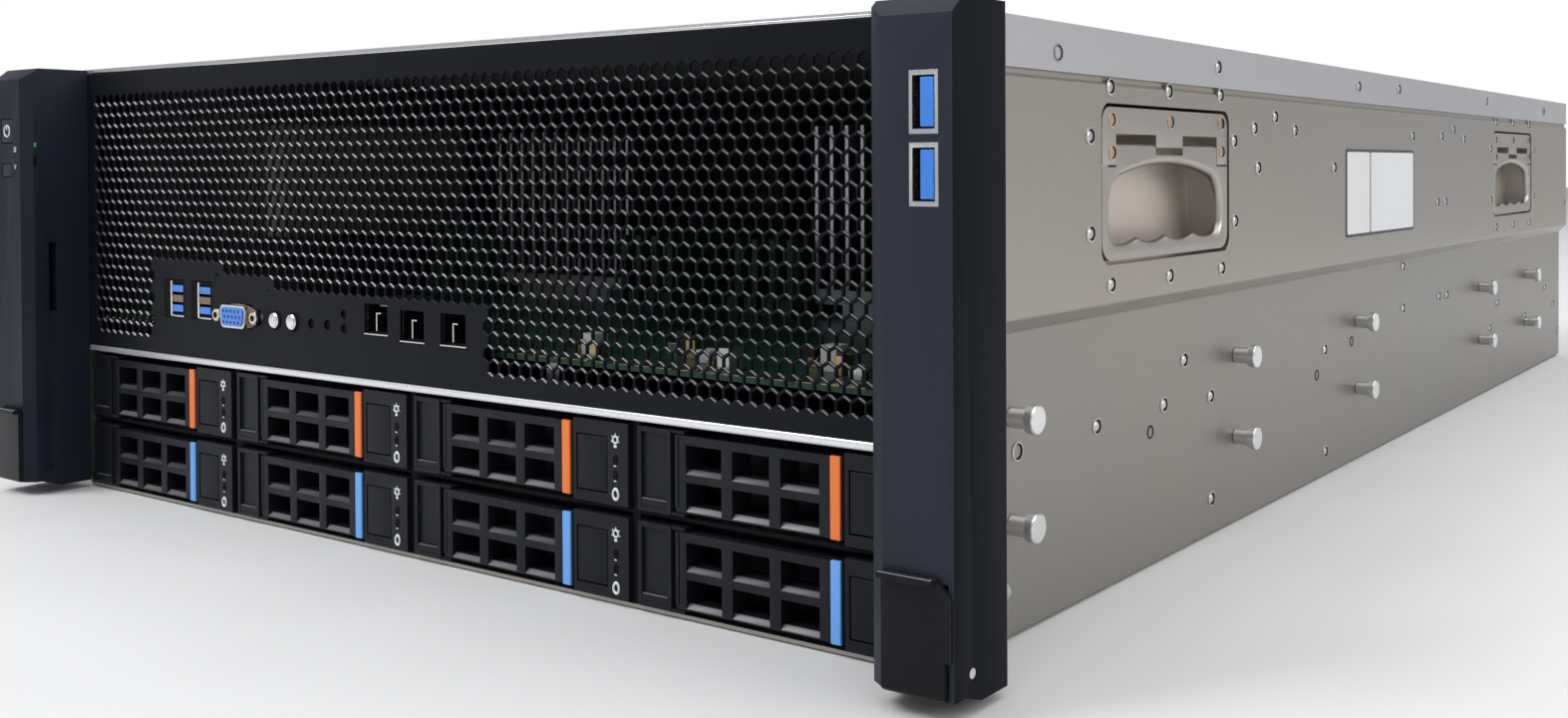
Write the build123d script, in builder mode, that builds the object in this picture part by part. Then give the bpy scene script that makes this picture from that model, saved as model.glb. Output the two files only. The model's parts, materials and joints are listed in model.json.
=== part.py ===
from build123d import *
import os

# A 4U rack server: +Z up, front towards -Y, origin at the bottom centre of the whole machine.
# All lengths are in millimetres.

os.makedirs("parts", exist_ok=True)

# Rack and chassis
rack_space = 44.45
rack_spaces = 4
rack_clearance = 2.3
rack_width = 482.6
rack_screw_inset = 8.75
rack_screw_height = 22.2
wall_inset = 17.7
wall_step = 4.8
body_depth = 766.0
sheet = 1.2
cover_sheet = 1.0
board_thickness = 1.6

# Clearances and the overrun of cuts
gap = 0.3
slack = 0.05
over = 6.0

# Ears
ear_width = 26.3
ear_reach = 24.0
ear_nose = 5.0
ear_nose_setback = 3.0
ear_top_margin = 0.6
ear_foot = 2.4
latch_plate = 1.2
latch_lip_reach = 2.0
bracket_sheet = 1.6

# Front bays
bay_columns = 4
bay_rows = 2
bay_gap = 4.0
bay_side_margin = 2.0
face_height = 25.5
row_gap = 3.2
bay_depth = 175.0
strip_height = 2.3

# Rear
supply_reach = 18.0

# Places worked out from the sizes above
chassis_height = rack_spaces * rack_space - rack_clearance
front_reach = ear_reach + gap + latch_plate + latch_lip_reach
overall_depth = front_reach + body_depth + supply_reach
rack_y = front_reach - overall_depth / 2
rear_y = rack_y + body_depth
rack_half = rack_width / 2
upper_half = rack_half - wall_inset
lower_half = upper_half - wall_step
ear_inner = rack_half - ear_width
bays_width = 2 * (ear_inner - bay_side_margin)
face_width = (bays_width - (bay_columns - 1) * bay_gap) / bay_columns
bay_pitch = face_width + bay_gap


def facing(depth):
    """The upright plane that looks forwards, at a depth behind the rack plane."""
    return Plane.XZ.offset(-(rack_y + depth))


def level(height):
    """The level plane at a height above the chassis floor."""
    return Plane.XY.offset(height)


def beside(x):
    """The upright plane that looks to the right, at a place along X."""
    return Plane.YZ.offset(x)


def rect(left, right, bottom, top, mode=Mode.ADD):
    """A rectangle between two corners of the current sketch."""
    with Locations(((left + right) / 2, (bottom + top) / 2)):
        Rectangle(right - left, top - bottom, mode=mode)


# Side wall: a lower wall, a bend outwards, an upper wall and a joggle under the cover's flange
step_height = 86.5
step_rise = 4.3
flange_depth = 14.5
bend = 2.4
bend_share = 0.7
rim_lip = 7.0
joggle = cover_sheet + gap
flange_low = chassis_height - flange_depth
joggle_top = flange_low - gap
rim_height = chassis_height - cover_sheet - gap

# Carrying handles, by the pan openings in the upper walls
pan_length = 97.2
pan_height = 50.1
pan_corner = 5.0
pan_low = 102.8
pan_depth = 15.0
pan_flange = 8.0
front_pan_start = 83.4
rear_pan_start = 563.0
pan_middle_height = pan_low + pan_height / 2
pan_middles = [
    rack_y + front_pan_start + pan_length / 2,
    rack_y + rear_pan_start + pan_length / 2,
]

with BuildPart() as chassis_tub:
    with BuildSketch(facing(bracket_sheet)):
        with BuildLine():
            FilletPolyline(
                (0, 0),
                (lower_half, 0),
                (lower_half, step_height),
                (upper_half, step_height + step_rise),
                (upper_half, joggle_top - 2 * joggle),
                (upper_half - joggle, joggle_top - joggle),
                (upper_half - joggle, rim_height),
                (upper_half - joggle - rim_lip, rim_height),
                radius=bend * bend_share,
            )
            offset(amount=sheet, side=Side.LEFT)
        make_face()
        mirror(about=Plane.YZ)
    extrude(amount=bracket_sheet - body_depth)
    with BuildSketch(Plane.YZ):
        with Locations(*[(y, pan_middle_height) for y in pan_middles]):
            RectangleRounded(pan_length, pan_height, pan_corner)
    extrude(amount=upper_half + over, both=True, mode=Mode.SUBTRACT)
chassis_tub.part.label = "chassis_tub"
export_step(chassis_tub.part, "parts/chassis_tub.step")

# Top covers: shallow trays with side flanges, meeting at a seam
seam_depth = 363.6
seam_gap = 0.6
dish_inset = 40.0
dish_cut = 0.4
dish_corner = 12.0


def top_cover(start, end):
    """One cover between two depths behind the rack plane, with a shallow pressed field on top."""
    middle = rack_y + (start + end) / 2
    length = end - start
    with BuildPart() as cover:
        with BuildSketch(facing(start)):
            rect(-upper_half, upper_half, flange_low, chassis_height)
            inside = upper_half - cover_sheet
            rect(-inside, inside, flange_low - over, chassis_height - cover_sheet, Mode.SUBTRACT)
        extrude(amount=-length)
        with BuildSketch(level(chassis_height - dish_cut)):
            with Locations((0, middle)):
                RectangleRounded(2 * (upper_half - dish_inset), length - 2 * dish_inset, dish_corner)
        extrude(amount=over, mode=Mode.SUBTRACT)
    return cover


cover_start = bracket_sheet + gap
front_cover = top_cover(cover_start, seam_depth - seam_gap / 2)
front_cover.part.label = "top_cover_front"
export_step(front_cover.part, "parts/top_cover_front.step")
rear_cover = top_cover(seam_depth + seam_gap / 2, body_depth)
rear_cover.part.label = "top_cover_rear"
export_step(rear_cover.part, "parts/top_cover_rear.step")

# Drive cage: side walls, column walls and shelves of sheet, with a bright hem along its top front edge
face_setback = 0.5
floor_clearance = 0.4
shelf_clearance = 0.4
ceiling_clearance = 1.4
cage_side_clearance = 0.4
row_low = sheet + floor_clearance
row_pitch = face_height + row_gap
cage_ceiling = row_low + row_pitch + face_height + ceiling_clearance
strip_top = cage_ceiling + strip_height
bays_half = bays_width / 2
cage_half = bays_half + cage_side_clearance + sheet
column_starts = [bay_pitch * column - bays_half for column in range(bay_columns)]
row_lows = [row_low + row_pitch * row for row in range(bay_rows)]
cage_start = 2.0
strip_depth = 2.5
connector_length = 50.0
connector_height = 5.0
connector_reach = 8.0

with BuildPart() as drive_cage:
    with BuildSketch(facing(cage_start)):
        rect(-cage_half, cage_half, sheet, cage_ceiling + sheet)
        for start in column_starts:
            for low in row_lows:
                left = start - cage_side_clearance
                right = start + face_width + cage_side_clearance
                top = low + row_pitch - sheet - shelf_clearance
                if low == row_lows[-1]:
                    top = cage_ceiling
                bottom = low - shelf_clearance if low > row_low else sheet
                rect(left, right, bottom, top, Mode.SUBTRACT)
    extrude(amount=cage_start - bay_depth)
    with BuildSketch(facing(cage_start)):
        rect(-cage_half, cage_half, cage_ceiling, strip_top)
    extrude(amount=-strip_depth)
    with BuildSketch(facing(-gap)):
        rect(-cage_half, cage_half, cage_ceiling, strip_top)
    extrude(amount=-cage_start - gap)

with BuildPart() as backplane:
    with BuildSketch(facing(bay_depth)):
        rect(-cage_half, cage_half, row_low, cage_ceiling)
    extrude(amount=-board_thickness)
    with BuildSketch(facing(bay_depth)):
        for start in column_starts:
            for low in row_lows:
                with Locations((start + face_width / 2, low + face_height / 2)):
                    Rectangle(connector_length, connector_height)
    extrude(amount=connector_reach)

cage_group = Compound(label="drive_cage", children=[drive_cage.part, backplane.part])
export_step(cage_group, "parts/drive_cage.step")

# Drive carrier, in its own frame: x from its left edge, y back from its face, z up from its bottom edge
face_depth = 12.0
hinge_block = 13.8
hinge_recess_inset = 1.6
hinge_recess = 1.0
button_width = 13.2
button_right_margin = 9.2
button_left = face_width - button_right_margin - button_width
button_low = 3.6
button_height = 17.0
button_thickness = 4.0
button_travel = 1.5
lever_right_margin = 24.8
lever_right = face_width - lever_right_margin
latch_block = lever_right + 2 * gap
lever_front = 0.3
lever_thickness = 8.2
frame_bar = 2.0
pivot_radius = 2.5
pivot_pin = 1.2
pivot_x = hinge_block + gap + pivot_radius
pivot_y = lever_front + pivot_radius
disk_length = 147.0
disk_height = 20.2
disk_start = 14.0
rail_height = 19.0
rail_length = 150.0
tray_floor = 1.0
tray = 0.95

with BuildPart() as carrier:
    with BuildSketch(Plane.XZ):
        rect(0, hinge_block, 0, face_height)
        rect(latch_block, face_width, 0, face_height)
    extrude(amount=-face_depth)
    with BuildSketch(Plane.XZ.offset(-face_depth)):
        rect(0, face_width, 0, frame_bar)
        rect(0, face_width, face_height - frame_bar, face_height)
    extrude(amount=face_depth - lever_front - lever_thickness - gap)
    with BuildSketch(Plane.XZ):
        inset = hinge_recess_inset
        rect(inset, hinge_block - inset, inset, face_height - inset)
    extrude(amount=-hinge_recess, mode=Mode.SUBTRACT)
    with BuildSketch(Plane.XZ):
        rect(
            button_left - gap,
            button_left + button_width + gap,
            button_low - gap,
            button_low + button_height + gap,
        )
    extrude(amount=-button_thickness - button_travel - gap, mode=Mode.SUBTRACT)
    with BuildSketch(Plane.XZ.offset(-face_depth)):
        rect(0, tray, 0, rail_height)
        rect(face_width - tray, face_width, 0, rail_height)
        rect(0, face_width, 0, tray_floor)
    extrude(amount=-rail_length)
    # Ears above and below the lever hold its upright pivot pin
    with BuildSketch(Plane.XY):
        with Locations((pivot_x, pivot_y)):
            Circle(pivot_pin)
    extrude(amount=face_height)
    with BuildSketch(Plane.XY):
        rect(0, pivot_x + pivot_radius, lever_front, face_depth)
    extrude(amount=tray_floor)
    with BuildSketch(Plane.XY.offset(face_height - tray_floor)):
        rect(0, pivot_x + pivot_radius, lever_front, face_depth)
    extrude(amount=tray_floor)

with BuildPart() as disk:
    with BuildSketch(Plane.XZ.offset(-disk_start)):
        rect(tray, face_width - tray, tray_floor, tray_floor + disk_height)
    extrude(amount=-disk_length)

# Carrier lever: a windowed grip on an upright pin, with a coloured strip let into its free end
lever_low = tray_floor + gap
lever_high = face_height - tray_floor - gap
stripe_inset = 4.3
stripe_left = lever_right - stripe_inset
window_count = 3
window_margin = 6.0
window_bar = 4.2
window_field = stripe_left - hinge_block - window_margin
window_width = window_field / window_count - window_bar
window_starts = [
    hinge_block + window_margin + index * (window_width + window_bar) for index in range(window_count)
]
lower_window_low = 3.2
upper_window_low = 14.2
window_height = 7.2
sill = 1.4
stripe_width = 3.6
stripe_depth = 0.8

with BuildPart() as lever:
    with BuildSketch(Plane.XY.offset(lever_low)):
        rect(pivot_x, lever_right, lever_front, lever_front + lever_thickness)
        with Locations((pivot_x, pivot_y)):
            Circle(pivot_radius)
            Circle(pivot_pin + slack, mode=Mode.SUBTRACT)
    extrude(amount=lever_high - lever_low)
    with BuildSketch(Plane.XZ.offset(-lever_front)):
        for start in window_starts:
            for low in (lower_window_low, upper_window_low):
                rect(start, start + window_width, low, low + window_height)
    extrude(amount=-lever_thickness, mode=Mode.SUBTRACT)
    window_edges = lever.edges().filter_by(Axis.X).group_by(Axis.Y)[0]
    sills = [
        edge
        for edge in window_edges
        if abs(edge.length - window_width) < slack
        and edge.center().Z < upper_window_low + slack
        and abs(edge.center().Z - lower_window_low - window_height) > slack
    ]
    chamfer(sills, length=sill)
    with BuildSketch(Plane.XZ.offset(-lever_front)):
        rect(stripe_left, stripe_left + stripe_width, lever_low, lever_high)
    extrude(amount=-stripe_depth, mode=Mode.SUBTRACT)

with BuildPart() as stripe:
    with BuildSketch(Plane.XZ.offset(-lever_front)):
        rect(stripe_left, stripe_left + stripe_width, lever_low, lever_high)
    extrude(amount=-stripe_depth)

with BuildPart() as release:
    with BuildSketch(Plane.XZ):
        rect(button_left, button_left + button_width, button_low, button_low + button_height)
    extrude(amount=-button_thickness)
    chamfer(release.edges().group_by(Axis.Y)[0], length=gap)

bay = 0
for start in column_starts:
    for low in row_lows:
        bay += 1
        place = Location((start, rack_y + face_setback, low))
        carrier_group = Compound(
            label=f"drive_carrier_{bay}",
            children=[carrier.part.moved(place), disk.part.moved(place)],
        )
        export_step(carrier_group, f"parts/drive_carrier_{bay}.step")
        lever_group = Compound(
            label=f"carrier_lever_{bay}",
            children=[lever.part.moved(place), stripe.part.moved(place)],
        )
        export_step(lever_group, f"parts/carrier_lever_{bay}.step")
        button = release.part.moved(place)
        button.label = f"release_button_{bay}"
        export_step(button, f"parts/release_button_{bay}.step")

# Front panel: perforated sheet with a return flange along the top and both sides
panel_low = strip_top + gap
panel_top_margin = 2.3
panel_top = chassis_height - panel_top_margin
panel_half = ear_inner - gap
panel_flange = 18.0
hole_pitch = 20.68
hole_across_flats = 16.8
hexagon_share = 0.8660254
row_spacing = hole_pitch * hexagon_share
field_inset = 8.6
field_low_margin = 6.1
port_block_left = -162.0
port_block_right = 37.5
port_block_high = 94.0
port_margin = 1.0

hole_tip = hole_across_flats / 2 / hexagon_share
field_half = panel_half - field_inset
field_high = panel_top - field_inset
field_low = panel_low + field_low_margin
hole_rows = int((field_high - field_low - 2 * hole_tip) / row_spacing) + 1
row_start = (field_high + field_low + (hole_rows - 1) * row_spacing) / 2
column_span = 2 * field_half - hole_across_flats
long_row = int(column_span / hole_pitch) + 1
grille_holes = []
for row in range(hole_rows):
    count = long_row - row % 2
    z = row_start - row * row_spacing
    for column in range(count):
        x = (column - (count - 1) / 2) * hole_pitch
        over_ports = port_block_left - hole_tip < x < port_block_right + hole_tip
        if not (over_ports and z - hole_tip < port_block_high + port_margin):
            grille_holes.append((x, z))

# Front connectors, by their middles above the chassis floor
usb_middles = [-148.2, -128.6]
usb_width = 14.2
usb_height = 14.6
usb_low = 74.9
usb_depth = 17.0
usb_port_width = 12.6
usb_port_height = 5.2
usb_tongue = 1.9
usb_wall = (usb_height - 2 * usb_port_height) / 3
usb_port_shift = (usb_port_height + usb_wall) / 2
vga_middle = -103.8
vga_height = 77.5
vga_low_width = 15.4
vga_top_width = 17.6
vga_rise = 8.6
vga_reach = 5.5
vga_body = 12.0
vga_corner = 2.0
jackscrew_offset = 12.5
jackscrew_radius = 2.6
jackscrew_reach = 4.0
jack_middles = [-17.9, 2.1, 23.9]
jack_lows = [74.5, 73.1, 73.1]
jack_width = 15.6
jack_height = 13.2
jack_depth = 20.0
jack_wall = 1.4
jack_cavity = 13.0
button_middles = [-78.8, -67.7]
plunger_middles = [-56.3, -46.4]
round_button_height = 77.2
round_button_radius = 2.9
round_button_reach = 1.0
round_button_length = 9.0
plunger_radius = 1.2
plunger_hole = 1.7
plunger_recess = 1.5
plunger_length = 5.0
lamp_x = -36.5
lamp_heights = [76.4, 81.6]
lamp_radius = 1.5

with BuildPart() as front_panel:
    with BuildSketch(facing(0)):
        rect(-panel_half, panel_half, panel_low, panel_top)
    extrude(amount=-panel_flange)
    with BuildSketch(facing(sheet)):
        rect(-panel_half + sheet, panel_half - sheet, panel_low - over, panel_top - sheet)
    extrude(amount=-panel_flange, mode=Mode.SUBTRACT)
    with BuildSketch(facing(-over)):
        with Locations(*grille_holes):
            RegularPolygon(hole_tip, 6, rotation=30)
        for x in usb_middles:
            half = usb_width / 2 + gap
            rect(x - half, x + half, usb_low - gap, usb_low + usb_height + gap)
        for x, low in zip(jack_middles, jack_lows):
            half = jack_width / 2 - jack_wall
            rect(x - half, x + half, low + jack_wall, low + jack_height - jack_wall)
        with Locations((vga_middle, vga_height)):
            Rectangle(vga_top_width + 2 * gap, vga_rise + 2 * gap)
        for x in (vga_middle - jackscrew_offset, vga_middle + jackscrew_offset):
            with Locations((x, vga_height)):
                Circle(jackscrew_radius + gap)
        with Locations(*[(x, round_button_height) for x in button_middles]):
            Circle(round_button_radius + gap)
        with Locations(*[(x, round_button_height) for x in plunger_middles]):
            Circle(plunger_hole)
        with Locations(*[(lamp_x, z) for z in lamp_heights]):
            Circle(lamp_radius)
    extrude(amount=-over - sheet - over, mode=Mode.SUBTRACT)
front_panel.part.label = "front_panel"
export_step(front_panel.part, "parts/front_panel.step")

with BuildPart() as usb_sockets:
    with BuildSketch(facing(0)):
        for x in usb_middles:
            rect(x - usb_width / 2, x + usb_width / 2, usb_low, usb_low + usb_height)
    extrude(amount=-usb_depth)
    with BuildSketch(facing(0)):
        for x in usb_middles:
            for side in (-1, 1):
                with Locations((x, usb_low + usb_height / 2 + side * usb_port_shift)):
                    Rectangle(usb_port_width, usb_port_height)
    extrude(amount=usb_wall - usb_depth, mode=Mode.SUBTRACT)

with BuildPart() as usb_tongues:
    with BuildSketch(facing(sheet)):
        for x in usb_middles:
            for side in (-1, 1):
                with Locations((x, usb_low + usb_height / 2 + side * usb_port_shift)):
                    Rectangle(usb_port_width - 2 * usb_wall, usb_tongue)
    extrude(amount=usb_wall + sheet - usb_depth)

with BuildPart() as vga_socket:
    with BuildSketch(facing(-vga_reach)) as vga_outline:
        with BuildLine():
            half_top = vga_top_width / 2
            half_low = vga_low_width / 2
            low = vga_height - vga_rise / 2
            high = vga_height + vga_rise / 2
            Polyline(
                (vga_middle - half_low, low),
                (vga_middle + half_low, low),
                (vga_middle + half_top, high),
                (vga_middle - half_top, high),
                close=True,
            )
        make_face()
        fillet(vga_outline.vertices(), radius=vga_corner)
    extrude(amount=-vga_reach - vga_body)
    with BuildSketch(facing(-jackscrew_reach)):
        for x in (vga_middle - jackscrew_offset, vga_middle + jackscrew_offset):
            with Locations((x, vga_height)):
                RegularPolygon(jackscrew_radius, 6)
    extrude(amount=-jackscrew_reach - vga_body)
    with BuildSketch(facing(sheet + gap)):
        half = jackscrew_offset + jackscrew_radius + sheet
        rect(vga_middle - half, vga_middle + half, low, high)
    extrude(amount=sheet + gap - vga_body)

with BuildPart() as network_jacks:
    with BuildSketch(facing(sheet)):
        for x, low in zip(jack_middles, jack_lows):
            rect(x - jack_width / 2, x + jack_width / 2, low, low + jack_height)
    extrude(amount=sheet - jack_depth)
    with BuildSketch(facing(0)):
        for x, low in zip(jack_middles, jack_lows):
            half = jack_width / 2 - jack_wall
            rect(x - half, x + half, low + jack_wall, low + jack_height - jack_wall)
    extrude(amount=-jack_cavity, mode=Mode.SUBTRACT)

# USB sockets in the right ear
ear_usb_inset = 8.4
ear_usb_middle = rack_half - ear_usb_inset
ear_usb_lows = [123.9, 141.4]
ear_usb_width = 8.6
ear_usb_height = 15.4
ear_usb_cavity = 6.6
ear_usb_depth = 14.0
ear_usb_tongue = 1.9
ear_face = -ear_reach

with BuildPart() as ear_usb:
    with BuildSketch(facing(ear_face)):
        for low in ear_usb_lows:
            half = ear_usb_width / 2
            rect(ear_usb_middle - half, ear_usb_middle + half, low, low + ear_usb_height)
    extrude(amount=-ear_usb_depth)
    with BuildSketch(facing(ear_face)):
        for low in ear_usb_lows:
            half = ear_usb_cavity / 2
            rect(ear_usb_middle - half, ear_usb_middle + half, low + sheet, low + ear_usb_height - sheet)
    extrude(amount=sheet - ear_usb_depth, mode=Mode.SUBTRACT)

with BuildPart() as ear_usb_tongues:
    with BuildSketch(facing(ear_face + sheet)):
        for low in ear_usb_lows:
            right = ear_usb_middle + ear_usb_cavity / 2 - gap
            rect(right - ear_usb_tongue, right, low + 2 * sheet, low + ear_usb_height - 2 * sheet)
    extrude(amount=2 * sheet - ear_usb_depth)

connector_group = Compound(
    label="front_connectors",
    children=[
        usb_sockets.part,
        usb_tongues.part,
        vga_socket.part,
        network_jacks.part,
        ear_usb.part,
        ear_usb_tongues.part,
    ],
)
export_step(connector_group, "parts/front_connectors.step")

# Round front panel buttons and the recessed pin-hole plungers
board_top = 72.5
for name, x in zip(("identify_button", "standby_button"), button_middles):
    with BuildPart() as round_button:
        with BuildSketch(facing(-round_button_reach)):
            with Locations((x, round_button_height)):
                Circle(round_button_radius)
        extrude(amount=-round_button_length)
        chamfer(round_button.edges().group_by(Axis.Y)[0], length=gap)
    round_button.part.label = name
    export_step(round_button.part, f"parts/{name}.step")
for name, x in zip(("restart_plunger", "interrupt_plunger"), plunger_middles):
    with BuildPart() as plunger:
        with BuildSketch(facing(plunger_recess)):
            with Locations((x, round_button_height)):
                Circle(plunger_radius)
        extrude(amount=-plunger_length)
    plunger.part.label = name
    export_step(plunger.part, f"parts/{name}.step")

# Ears: moulded housings with a nose chamfer, pocketed for the latch and its captive screw
ear_top = chassis_height - ear_top_margin
ear_brow = 4.5
ear_brow_depth = 5.0
latch_inset = 0.5
latch_low = 5.0
latch_high = 34.8
latch_corner = 4.0
latch_margin = 1.6
latch_pocket_depth = 18.0
latch_pivot_depth = -16.0
latch_pivot_height = 10.2
latch_barrel = 3.2
latch_pin_radius = 1.5
latch_cheek = 1.8
latch_foot_chamfer = 0.9
latch_foot_rise = 4.6
latch_lip_thickness = 1.6
pocket_left = ear_inner + ear_nose
pocket_right = rack_half - latch_margin
pocket_top = latch_high - latch_lip_thickness
screw_head_radius = 4.3
screw_head_start = -14.0
screw_head_length = 8.0
screw_neck_radius = 2.0
screw_radius = 2.5
screw_reach = 10.0
screw_x = rack_half - rack_screw_inset
power_inset = 10.6
power_x = power_inset - rack_half
power_height = 149.3
power_size = 9.6
reset_height = 133.1
reset_size = 5.2
reset_width = 8.0
ear_button_thickness = 3.0
ear_button_travel = 1.0
tag_slot_low = 75.0
tag_slot_high = 103.3
tag_slot_start = -15.6
tag_slot_width = 3.0
tag_slot_depth = 8.0


def ear_blank():
    """The right ear's housing before its buttons or sockets are cut."""
    with BuildPart() as ear:
        with BuildSketch(beside(ear_inner)):
            with BuildLine():
                Polyline(
                    (rack_y, ear_foot),
                    (rack_y, ear_top),
                    (rack_y - ear_reach + ear_brow_depth, ear_top),
                    (rack_y - ear_reach, ear_top - ear_brow),
                    (rack_y - ear_reach, latch_low),
                    (rack_y - ear_reach + ear_brow_depth, latch_low),
                    (rack_y - ear_reach / 2, ear_foot),
                    close=True,
                )
            make_face()
        extrude(amount=rack_half - ear_inner)
        nose = ear.edges().filter_by(Axis.Z).group_by(Axis.Y)[0].sort_by(Axis.X)[0]
        nose_face = ear.faces().filter_by(Axis.Y).sort_by(Axis.Y)[0]
        chamfer(nose, length=ear_nose, length2=ear_nose_setback, reference=nose_face)
        with BuildSketch(facing(-ear_reach)):
            rect(pocket_left, pocket_right, -over, pocket_top)
        extrude(amount=-latch_pocket_depth, mode=Mode.SUBTRACT)
        with BuildSketch(beside(ear_inner)):
            with Locations((rack_y + latch_pivot_depth, latch_pivot_height)):
                Circle(latch_pin_radius + slack)
        extrude(amount=rack_half - ear_inner, mode=Mode.SUBTRACT)
        with BuildSketch(facing(0)):
            with Locations((screw_x, rack_screw_height)):
                Circle(screw_radius + gap)
        extrude(amount=ear_reach, mode=Mode.SUBTRACT)
    return ear


right_blank = ear_blank()
with BuildPart() as ear_right:
    add(right_blank.part)
    with BuildSketch(facing(-ear_reach)):
        for low in ear_usb_lows:
            half = ear_usb_width / 2
            rect(ear_usb_middle - half, ear_usb_middle + half, low, low + ear_usb_height)
    extrude(amount=-ear_usb_depth, mode=Mode.SUBTRACT)
ear_right.part.label = "ear_housing_right"
export_step(ear_right.part, "parts/ear_housing_right.step")

with BuildPart() as ear_left:
    add(mirror(right_blank.part, about=Plane.YZ, mode=Mode.PRIVATE))
    with BuildSketch(facing(-ear_reach)):
        with Locations((power_x, power_height)):
            Rectangle(power_size + 2 * gap, power_size + 2 * gap)
        with Locations((power_x, reset_height)):
            Rectangle(reset_width + 2 * gap, reset_size + 2 * gap)
    extrude(amount=-ear_button_thickness - ear_button_travel - gap, mode=Mode.SUBTRACT)
    with BuildSketch(beside(-ear_inner)):
        start = rack_y + tag_slot_start
        rect(start, start + tag_slot_width, tag_slot_low, tag_slot_high)
    extrude(amount=-tag_slot_depth, mode=Mode.SUBTRACT)
ear_left.part.label = "ear_housing_left"
export_step(ear_left.part, "parts/ear_housing_left.step")

ear_buttons = {
    "power_button": (power_size, power_size, power_height),
    "reset_button": (reset_width, reset_size, reset_height),
}
for name, (width, height, middle) in ear_buttons.items():
    with BuildPart() as ear_button:
        with BuildSketch(facing(-ear_reach)):
            with Locations((power_x, middle)):
                Rectangle(width, height)
        extrude(amount=-ear_button_thickness)
        chamfer(ear_button.edges().group_by(Axis.Y)[0], length=gap)
    ear_button.part.label = name
    export_step(ear_button.part, f"parts/{name}.step")

# Ear latch: a flap over the captive screw, with a lip to pull and two cheeks on a cross pin
flap_back = -ear_reach - gap
flap_front = flap_back - latch_plate
flap_left = pocket_left + latch_inset
flap_right = rack_half - latch_inset
foot_right = pocket_right - gap
foot_top = latch_pivot_height + latch_foot_rise

with BuildPart() as latch_flap:
    with BuildSketch(facing(flap_front)):
        with BuildLine():
            Polyline(
                (flap_left, latch_low),
                (foot_right, latch_low),
                (foot_right, foot_top),
                (flap_right, foot_top),
                (flap_right, latch_high - latch_corner),
                (flap_right - latch_corner, latch_high),
                (flap_left, latch_high),
                close=True,
            )
        make_face()
    extrude(amount=-latch_plate)
    foot_edge = latch_flap.edges().filter_by(Axis.X).group_by(Axis.Z)[0].sort_by(Axis.Y)[0]
    chamfer(foot_edge, length=latch_foot_chamfer)
    with BuildSketch(facing(flap_front)):
        rect(flap_left, flap_right - latch_corner, latch_high - latch_lip_thickness, latch_high)
    extrude(amount=latch_lip_reach)
    for side in (pocket_left + gap, pocket_right - gap - latch_cheek):
        with BuildSketch(beside(side)):
            with BuildLine():
                Polyline(
                    (rack_y + flap_back, latch_low),
                    (rack_y + flap_back, pocket_top - 2 * gap),
                    (rack_y + latch_pivot_depth + latch_barrel, latch_pivot_height),
                    (rack_y + latch_pivot_depth, latch_pivot_height - latch_barrel),
                    close=True,
                )
            make_face()
            with Locations((rack_y + latch_pivot_depth, latch_pivot_height)):
                Circle(latch_barrel)
                Circle(latch_pin_radius, mode=Mode.SUBTRACT)
        extrude(amount=latch_cheek)

with BuildPart() as latch_pin:
    with BuildSketch(beside(ear_inner)):
        with Locations((rack_y + latch_pivot_depth, latch_pivot_height)):
            Circle(latch_pin_radius)
    extrude(amount=rack_half - ear_inner)

latch_right = Compound(label="ear_latch_right", children=[latch_flap.part, latch_pin.part])
export_step(latch_right, "parts/ear_latch_right.step")
latch_left = Compound(
    label="ear_latch_left",
    children=[mirror(latch_flap.part, about=Plane.YZ), mirror(latch_pin.part, about=Plane.YZ)],
)
export_step(latch_left, "parts/ear_latch_left.step")

# Rack brackets behind the ears: a flange for the rack post and a leg along the inside of the wall
leg_low = 5.0
leg_high = 82.0
leg_length = 40.0
flange_low_edge = 4.0
flange_high = 170.0
flange_margin = 1.0
leg_outer = lower_half - sheet

with BuildPart() as bracket:
    with BuildSketch(facing(0)):
        rect(leg_outer - bracket_sheet, rack_half - flange_margin, flange_low_edge, flange_high)
        with Locations((screw_x, rack_screw_height)):
            Circle(screw_radius + gap, mode=Mode.SUBTRACT)
    extrude(amount=-bracket_sheet)
    with BuildSketch(facing(bracket_sheet)):
        rect(leg_outer - bracket_sheet, leg_outer, leg_low, leg_high)
    extrude(amount=-leg_length)

with BuildPart() as captive_screw:
    with BuildSketch(facing(screw_head_start)):
        with Locations((screw_x, rack_screw_height)):
            Circle(screw_head_radius)
    extrude(amount=-screw_head_length)
    neck_start = screw_head_start + screw_head_length
    with BuildSketch(facing(neck_start)):
        with Locations((screw_x, rack_screw_height)):
            Circle(screw_neck_radius)
    extrude(amount=neck_start - bracket_sheet - gap)
    with BuildSketch(facing(bracket_sheet + gap)):
        with Locations((screw_x, rack_screw_height)):
            Circle(screw_radius)
    extrude(amount=-screw_reach)

bracket_parts = [bracket.part, captive_screw.part]
bracket_group = Compound(
    label="rack_brackets",
    children=bracket_parts + [mirror(piece, about=Plane.YZ) for piece in bracket_parts],
)
export_step(bracket_group, "parts/rack_brackets.step")

# Rail studs: shouldered studs on the lower walls that the rails hook over
stud_depths = [38.5, 197.2, 335.6, 551.4, 665.1]
stud_heights = [32.2, 62.6]
stud_neck_radius = 3.0
stud_head_radius = 4.2
stud_neck = 5.8
stud_head = 3.2

with BuildPart() as studs:
    places = [(rack_y + depth, height) for depth in stud_depths for height in stud_heights]
    with BuildSketch(beside(lower_half)):
        with Locations(*places):
            Circle(stud_neck_radius)
    extrude(amount=stud_neck)
    with BuildSketch(beside(lower_half + stud_neck)):
        with Locations(*places):
            Circle(stud_head_radius)
    extrude(amount=stud_head)
stud_group = Compound(
    label="rail_studs",
    children=[studs.part, mirror(studs.part, about=Plane.YZ)],
)
export_step(stud_group, "parts/rail_studs.step")

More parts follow.
